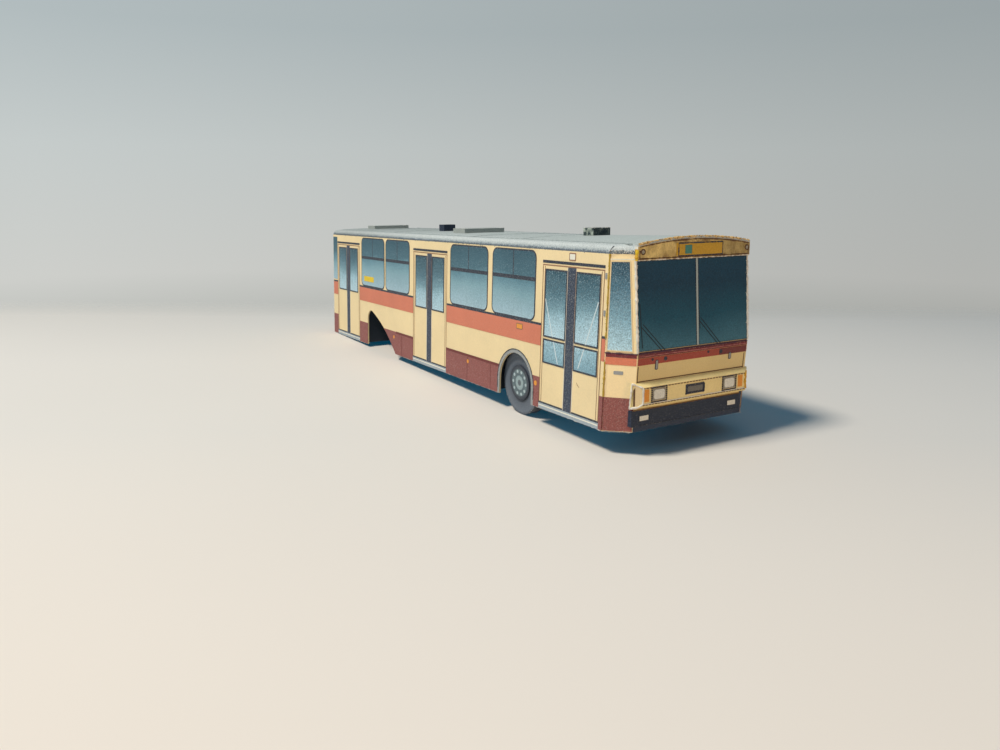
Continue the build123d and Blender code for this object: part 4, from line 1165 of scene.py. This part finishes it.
# ---------------------------------------------------------------- corners
def corner_print():
    """Pane frames, blank plates and roof lines on the front corners, and the left one's dark foot."""
    reach = LEFT_CORNER.width(2.4)
    notch = bar(reach - 0.85, reach - 0.03, 0.8, 3.85)
    print_on("corner_skirt_patch", inks.maroon, [(LEFT_CORNER, [notch])], ON_INK, 0.06)
    frames, plates, shades = [], [], []
    for corner in CORNERS:
        widths = [corner.width(level) for level in PANE_LEVELS]
        outer, inner = [[(near, foot), (widths[0] - far, foot), (widths[1] - far, top), (near, top)]
                        for near, far, foot, top in ((0.15, 0.68, 12.5, 26.0), (0.33, 0.84, 12.66, 25.84))]
        frames.append((corner, [band(split_evenly(outer), split_evenly(inner))]))
        plates.append((corner, [rounded(1.45, 2.95, 8.95, 9.5, 0.15)]))
        shades.append((corner, [bar(0.1, corner.width(26.5) - 0.1, 26.15, 26.3)]))
    print_on("corner_pane_frames", inks.cream, frames, ON_INK, 0.04)
    print_on("corner_plates", inks.lip, plates, CARD_LIFT, 0.05)
    print_on("corner_roof_lines", inks.pale, shades, CARD_LIFT, 0.04)


# ---------------------------------------------------------------- wheels
WHEEL_BACK, WHEEL_FACE = 11.33, 13.53      # this far out from the middle
RIM_FACE = 13.78
TYRE_RADIUS = 5.85
FLECK_RADIUS = 5.75
LAYERS = 7
LAYER_DEPTH = (WHEEL_FACE - WHEEL_BACK) / LAYERS
WHEEL_STEPS = 96
FLECK_STEPS = 60


def card_wheels():
    """Tyres wound up from glued card discs, each a little off the size of the next."""
    draw = random.Random(5)
    for side, name in SIDE_NAMES.items():
        steps = []
        for layer in range(LAYERS):
            reach = TYRE_RADIUS - draw.uniform(0.0, 0.09)
            start = WHEEL_BACK + layer * LAYER_DEPTH
            end = start + LAYER_DEPTH
            steps += [(start + 0.02, reach - 0.05), (start + 0.05, reach), (end - 0.05, reach),
                      (end - 0.02, reach - 0.05)]
        profile = [(WHEEL_BACK, 0.0), (WHEEL_BACK, TYRE_RADIUS - 0.12), *steps,
                   (WHEEL_FACE, TYRE_RADIUS - 0.12), (WHEEL_FACE, 0.0)]
        bm = bmesh.new()
        lathe(bm, profile, side, WHEEL_STEPS)
        piece = finish_piece(bm, f"card_tyre_{name}", tyre_card, "front_wheelset")
        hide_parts(f"front_wheel_{name}")


def wheel_point(side, out, radius, turn):
    """Point at a distance out from the middle, a radius and an angle about the front axle."""
    return (axle + Vector((0, side * out * MM, 0))
            + Vector((math.cos(turn), 0, math.sin(turn))) * radius * MM)


def lathe(bm, profile, side, segments):
    """Turns a profile of (distance out, radius) about the front axle."""
    rings = []
    for out, radius in profile:
        if radius == 0:
            rings.append([bm.verts.new(wheel_point(side, out, 0, 0))] * segments)
            continue
        rings.append([bm.verts.new(wheel_point(side, out, radius, i * 2 * math.pi / segments))
                      for i in range(segments)])
    for near, far in zip(rings, rings[1:]):
        for i in range(segments):
            j = (i + 1) % segments
            corners = list(dict.fromkeys((near[i], near[j], far[j], far[i])))
            bm.faces.new(corners)


def rim_marks():
    """Hand holes, wheel nuts and hub nuts printed on each rim, and crumbs on the tyres' edges."""
    marks = (("hand_holes", inks.hand_hole, 10, 2.1, 0.29, 0.05),
             ("wheel_nuts", inks.nut, 10, 1.42, 0.11, 0.08), ("hub_nuts", inks.nut, 6, 0.42, 0.08, 0.08))
    for side, name in SIDE_NAMES.items():
        for label, material, count, ring, mark, thickness in marks:
            HUB_MARKS.grow(f"{label}_{name}", [[(0, 0, 0)]], material, "rim_card", "front_wheelset",
                           Count=count, Ring=ring * MM, Mark=mark * MM, Thickness=thickness * MM,
                           Centre=tuple(wheel_point(side, RIM_FACE, 0, 0)))
    chips = [[wheel_point(side, WHEEL_FACE, FLECK_RADIUS, i * 2 * math.pi / FLECK_STEPS)
              for i in range(FLECK_STEPS + 1)] for side in SIDES]
    flecks("tyre_flecks", chips, paper_edge, "tyre_card", 46, (0.12, 0.02, 0.12), 0.03, 0.08, 43,
           "front_wheelset")


# ---------------------------------------------------------------- roof
CREASE_OUT = 11.3
SEAM_REACH = 11.4
ROOF_SEAMS = (33.0, 52.0, 92.0, 109.0)
ROOF_BOXES = (("vent", 24.0, 27.0, 1.85, 30.2), ("plinth", 66.0, 71.5, 5.0, 29.4),
              ("rear_box", 118.0, 123.0, 5.0, 29.3))       # front, rear, half width, top


def roof_print():
    """Creases and seams of the roof."""
    creases = [[ROOF.at(s, side * CREASE_OUT) for s in range(2, 130, 4)] for side in SIDES]
    seams = [[ROOF.at(s, SEAM_REACH * (i / 6 - 1)) for i in range(13)] for s in ROOF_SEAMS]
    worn_edge("roof_creases", creases, inks.crease, "silver_card", 0.1, 0.4, 0.08, 45.0)
    worn_edge("roof_seams", seams, inks.crease, "silver_card", 0.05, 0.5, 0.06, 47.0)


def roof_box_print():
    """Raw fibres round the tops of the roof's boxes, and the slats in the vent's ends."""
    for name, front, rear, half, top in ROOF_BOXES:
        loop = [(-front, -half, top), (-front, half, top), (-rear, half, top), (-rear, -half, top)]
        path = [row_point(point) for point in [*loop, loop[0]]]
        flecks(f"roof_{name}_flecks", [path], paper_edge, "silver_card", 90, (0.1, 0.1, 0.06), 0.04, 0.11, 49)
    slats = [[row_point((x, y, 29.5)) for y in (-1.5, 1.5)] for x in (-23.99, -27.01)]
    SLATS.grow("vent_slats", slats, vent_card, "silver_card", Count=9,
               Slat=[size * MM for size in (0.08, 0.14, 0.9)])


def roof_edge_print():
    """Raw fibres and crumbs along the turned-down edges of the roof, and the slits at its front corners."""
    cant = [[row_point((-s, side * side_half(SIDE_TOP), SIDE_TOP + 0.12)) for s in range(4, 128, 4)]
            for side in SIDES]
    flecks("cant_flecks", cant, inks.roof_line, "silver_card", 420, (0.3, 0.06, 0.2), 0.05, 0.14, 51)
    cant_middle, reach = side_half(SIDE_TOP) - CANT, CANT - 0.05
    slits = [[row_point((-FRONT_CORNER - 0.05, side * (cant_middle + reach * math.cos(turn)),
                         SIDE_TOP + reach * math.sin(turn))) for turn in (0.0, 0.3, 0.6, 0.9, 1.2)]
             for side in SIDES]
    worn_edge("cant_slits", slits, inks.line, "line_print", 0.09, 0.5, 0.04, 53.0)
    corners = []
    for corner in CORNERS:
        side_fold, end_fold = corner.folds(SIDE_TOP)
        corners.append([row_point(side_fold.lerp(end_fold, i / 6) + Vector((0, 0, 0.3))) for i in range(7)])
    flecks("roof_corner_flecks", corners, paper_edge, "silver_card", 90, (0.15, 0.2, 0.3), 0.05, 0.13, 55)
    flecks("roof_corner_crumbs", corners, inks.roof_line, "silver_card", 60, (0.15, 0.2, 0.3), 0.05, 0.12, 57)


# ---------------------------------------------------------------- rear
REAR_LAMP_OUT = 8.9


def rear_quarter_panes():
    """The rear corner's glass goes on round the fold, up to the last door."""
    panes = [(side_face(side), [bar(123.75, 126.85, 14.98, 26.45)]) for side in SIDES]
    print_on("rear_quarter_panes", window_glass, panes, CARD_LIFT, 0.06)


def rear_print():
    """Lamps, hatch and seams printed on the rear panel, all blank."""
    lamps, amber = [[rounded(y - 0.9, y + 0.9, foot, top, 0.2) for y in (-REAR_LAMP_OUT, REAR_LAMP_OUT)]
                    for foot, top in ((6.2, 9.4), (9.6, 10.5))]
    hatch = frame_bars(-6.9, 6.9, 4.2, 10.3, 0.15)
    hatch += [bar(near, near + 2.5, 4.9 + i * 0.42, 5.05 + i * 0.42)
              for near in (-5.9, 3.4) for i in range(6)]
    seams = [bar(-10.8, 10.8, 14.5, 14.62), *frame_bars(-2.8, 2.8, 5.6, 7.1, 0.18),
             *frame_bars(-10.2, 10.2, 15.0, 25.45, 0.22)]
    plate = [rounded(-2.6, 2.6, 5.8, 6.9, 0.1)]
    prints_on(REAR,
              ("rear_lamps", inks.red_lamp, "amber_print", lamps, CARD_LIFT, 0.06),
              ("rear_turn_lamps", inks.amber, "amber_print", amber, CARD_LIFT, 0.06),
              ("rear_hatch_lines", inks.brown, "line_print", hatch, CARD_LIFT, 0.06),
              ("rear_seams", inks.line, "line_print", seams, CARD_LIFT, 0.07),
              ("rear_plate", inks.pale, "lamp_print", plate, CARD_LIFT, 0.06))
    folds = [fold_run(CornerFace(side, False), which, (0.3, 6, 12, 18, 24, 26.9))
             for side in SIDES for which in (0, 1)]
    worn_edge("rear_fold_edges", folds, paper_edge, "cream_card", 0.09, 0.5, 0.06, 59.0)


door_print()
door_rails()
door_small_print()
skirt_print()
side_small_print()
windscreen_print()
lower_front_print()
lamp_panel_print()
lamp_panel_ends()
pen_marks()
bumper_print()
header_print()
fold_lines()
waist_fold()
skirt_edges()
corner_print()
card_wheels()
rim_marks()
roof_print()
roof_box_print()
roof_edge_print()
rear_quarter_panes()
rear_print()

# ---------------------------------------------------------------- camera
CAMERA_PLACE = (0.154967, -0.088786, 0.040669)
CAMERA_TURN = (76.680, -0.306, 59.390)      # degrees
camera_data = bpy.data.cameras.new("camera")
camera_data.lens = 28.87
camera_data.sensor_width = 36.0
camera_data.clip_start = MM
camera = bpy.data.objects.new("camera", camera_data)
camera.location = CAMERA_PLACE
camera.rotation_euler = [math.radians(angle) for angle in CAMERA_TURN]
scene.collection.objects.link(camera)
scene.camera = camera
scene.view_settings.view_transform = "Standard"

# ---------------------------------------------------------------- table, backdrop and light
SWEEP_START = 0.092         # the table ends in the backdrop this far behind the origin
SWEEP_SOFT = 0.022
TABLE_HALF = 1.0
TABLE_CLEAR, TABLE_FADED = 0.24, 0.5
SWEEP_DIRECTION = Vector((-0.856, 0.517, 0))
ALONG_SWEEP = Vector((0.517, 0.856, 0))
# painted light: the table's paper is lighter and warmer before the model, as a pool of the window's light
LIT_NEAR_PAPER, WARM_PAPER = rgb(232, 218, 203), rgb(218, 211, 202)
SHADOW_BLUE = (0.0, 0.033, 0.06, 1.0)       # the table's faint glow where the shadow lies
LESS_BLUE = (1.0, 0.955, 0.905, 1.0)        # taken out of the paper there
BLUE_BESIDE = (-3 * MM, -17 * MM)           # the glow sets in from one to the other, beside the model
BLUE_REACH = (0.11, 0.07)                   # and from one distance to the other, near it
LIGHT_POOL_FADE = (-0.14, -0.05)                 # the painted pool of light on the table fades over this stretch before the model
BACKDROP_LEVELS = (-0.47, 0.17)
BACKDROP_SHADES = [(0.0, 218, 214, 206), (0.5, 188, 190, 185), (0.58, 203, 204, 200), (0.8, 195, 201, 200),
                   (1.0, 176, 186, 188)]
FILL_STRENGTH = 0.31
FILL_BEHIND, FILL_AHEAD = (0.2, 0.6, 1.0, 1.0), (0.2, 0.2, 0.22, 1.0)
AIM = Vector((0, 0, 0.01))                  # the lights look here
LIGHTS = (("window", (0.014, -0.37, 0.59), 0.155, 4.9, (1.0, 0.94, 0.845)),
          ("warm_return", (0.5, 0.05, 0.024), 0.04, 0.5, (1.0, 0.6, 0.3)))     # place, size, power, colour


def table_finish():
    """Pale matt paper, which lets the backdrop show past a soft line; it carries a painted pool of light before
    the model, painted shade along the line and a faint painted blue glow in the model's shadow.
    """
    finish = Finish("pale_table", roughness=1.0, specular=0.0)
    distance = finish.dot(finish.object_point, SWEEP_DIRECTION)
    radius = finish.length(finish.object_point)
    cloud = finish.scaled(finish.noise(7.0), 0.3, 0.7, 0.985, 1.015)
    shade = finish.scaled(distance, SWEEP_START - 4 * SWEEP_SOFT, SWEEP_START, 1.0, 0.93)
    paper = finish.mix(finish.scaled(distance, *LIGHT_POOL_FADE, 1.0, 0.0), WARM_PAPER, LIT_NEAR_PAPER)
    # painted light: the table glows faintly blue where the model's shadow lies beside it, and its paper is made
    # less blue there so that the lit part keeps its tone
    beside = finish.maths("ADD", finish.level_xyz["X"], finish.maths("MULTIPLY", finish.level_xyz["Y"], 0.6))
    shadow_glow = finish.maths("MULTIPLY", finish.scaled(beside, *BLUE_BESIDE), finish.scaled(radius, *BLUE_REACH))
    paper = finish.mix(shadow_glow, paper, LESS_BLUE, "MULTIPLY")
    finish.colour(finish.toned(paper, finish.maths("MULTIPLY", cloud, shade)))
    finish.put(finish.bsdf.inputs["Emission Color"], SHADOW_BLUE)
    finish.put(finish.bsdf.inputs["Emission Strength"], shadow_glow)
    past_line = finish.scaled(distance, SWEEP_START - SWEEP_SOFT, SWEEP_START + SWEEP_SOFT / 2)
    past = finish.maths("MAXIMUM", past_line, finish.scaled(radius, TABLE_CLEAR, TABLE_FADED))
    clear = finish.node("ShaderNodeBsdfTransparent")[0]
    both = finish.node("ShaderNodeMixShader", Fac=finish.maths("MULTIPLY", past, finish.shown_rays()),
                       n1=finish.bsdf.outputs[0], n2=clear)[0]
    finish.put(finish.tree.nodes["Material Output"].inputs["Surface"], both)
    return finish.material


def build_table():
    """The sheet the model stands on."""
    corners = ((-1, -1), (1, -1), (1, 1), (-1, 1))
    mesh = bpy.data.meshes.new("table")
    mesh.from_pydata([(x * TABLE_HALF, y * TABLE_HALF, 0) for x, y in corners], [], [(0, 1, 2, 3)])
    table = bpy.data.objects.new("table", mesh)
    table.data.materials.append(table_finish())
    scene.collection.objects.link(table)


def area_light(name, place, size, power, colour):
    """Round soft light that looks at the model."""
    data = bpy.data.lights.new(name, "AREA")
    data.shape = "DISK"
    data.size = size
    data.energy = power
    data.color = colour
    lamp = bpy.data.objects.new(name, data)
    lamp.location = place
    lamp.rotation_euler = (AIM - Vector(place)).to_track_quat("-Z", "Y").to_euler()
    scene.collection.objects.link(lamp)


def world_level(studio, axis, low, high, to_low=0.0, to_high=1.0):
    """How far a direction of the world points along an axis, from one level to another."""
    direction = studio.node("ShaderNodeTexCoord")["Generated"]
    return studio.scaled(studio.dot(direction, axis), low, high, to_low, to_high)


def backdrop_colour(studio):
    """Pale grey that darkens upwards, and to one side."""
    grey = studio.ramp(world_level(studio, (0, 0, 1), *BACKDROP_LEVELS), BACKDROP_SHADES)
    return studio.toned(grey, world_level(studio, ALONG_SWEEP, -0.5, 0.5, 1.03, 0.76))


def fill_colour(studio):
    """Blue fill from behind and above, and little from ahead of the model."""
    ahead = world_level(studio, (0.86, 0, -0.5), 0.1, 0.5)
    return studio.mix(ahead, FILL_BEHIND, FILL_AHEAD)


def build_light():
    """Cool fill from the world, a backdrop that only shows, a soft window and a faint warm return."""
    world = bpy.data.worlds.new("studio")
    scene.world = world
    world.use_nodes = True
    studio = Nodes(world.node_tree)
    fill = studio.tree.nodes["Background"]
    studio.put(fill.inputs["Color"], fill_colour(studio))
    studio.put(fill.inputs["Strength"], FILL_STRENGTH)
    shown = studio.node("ShaderNodeBackground", Color=backdrop_colour(studio))[0]
    both = studio.node("ShaderNodeMixShader", Fac=studio.shown_rays(), n1=fill.outputs[0], n2=shown)[0]
    studio.put(studio.tree.nodes["World Output"].inputs["Surface"], both)
    for light in LIGHTS:
        area_light(*light)


build_table()
build_light()
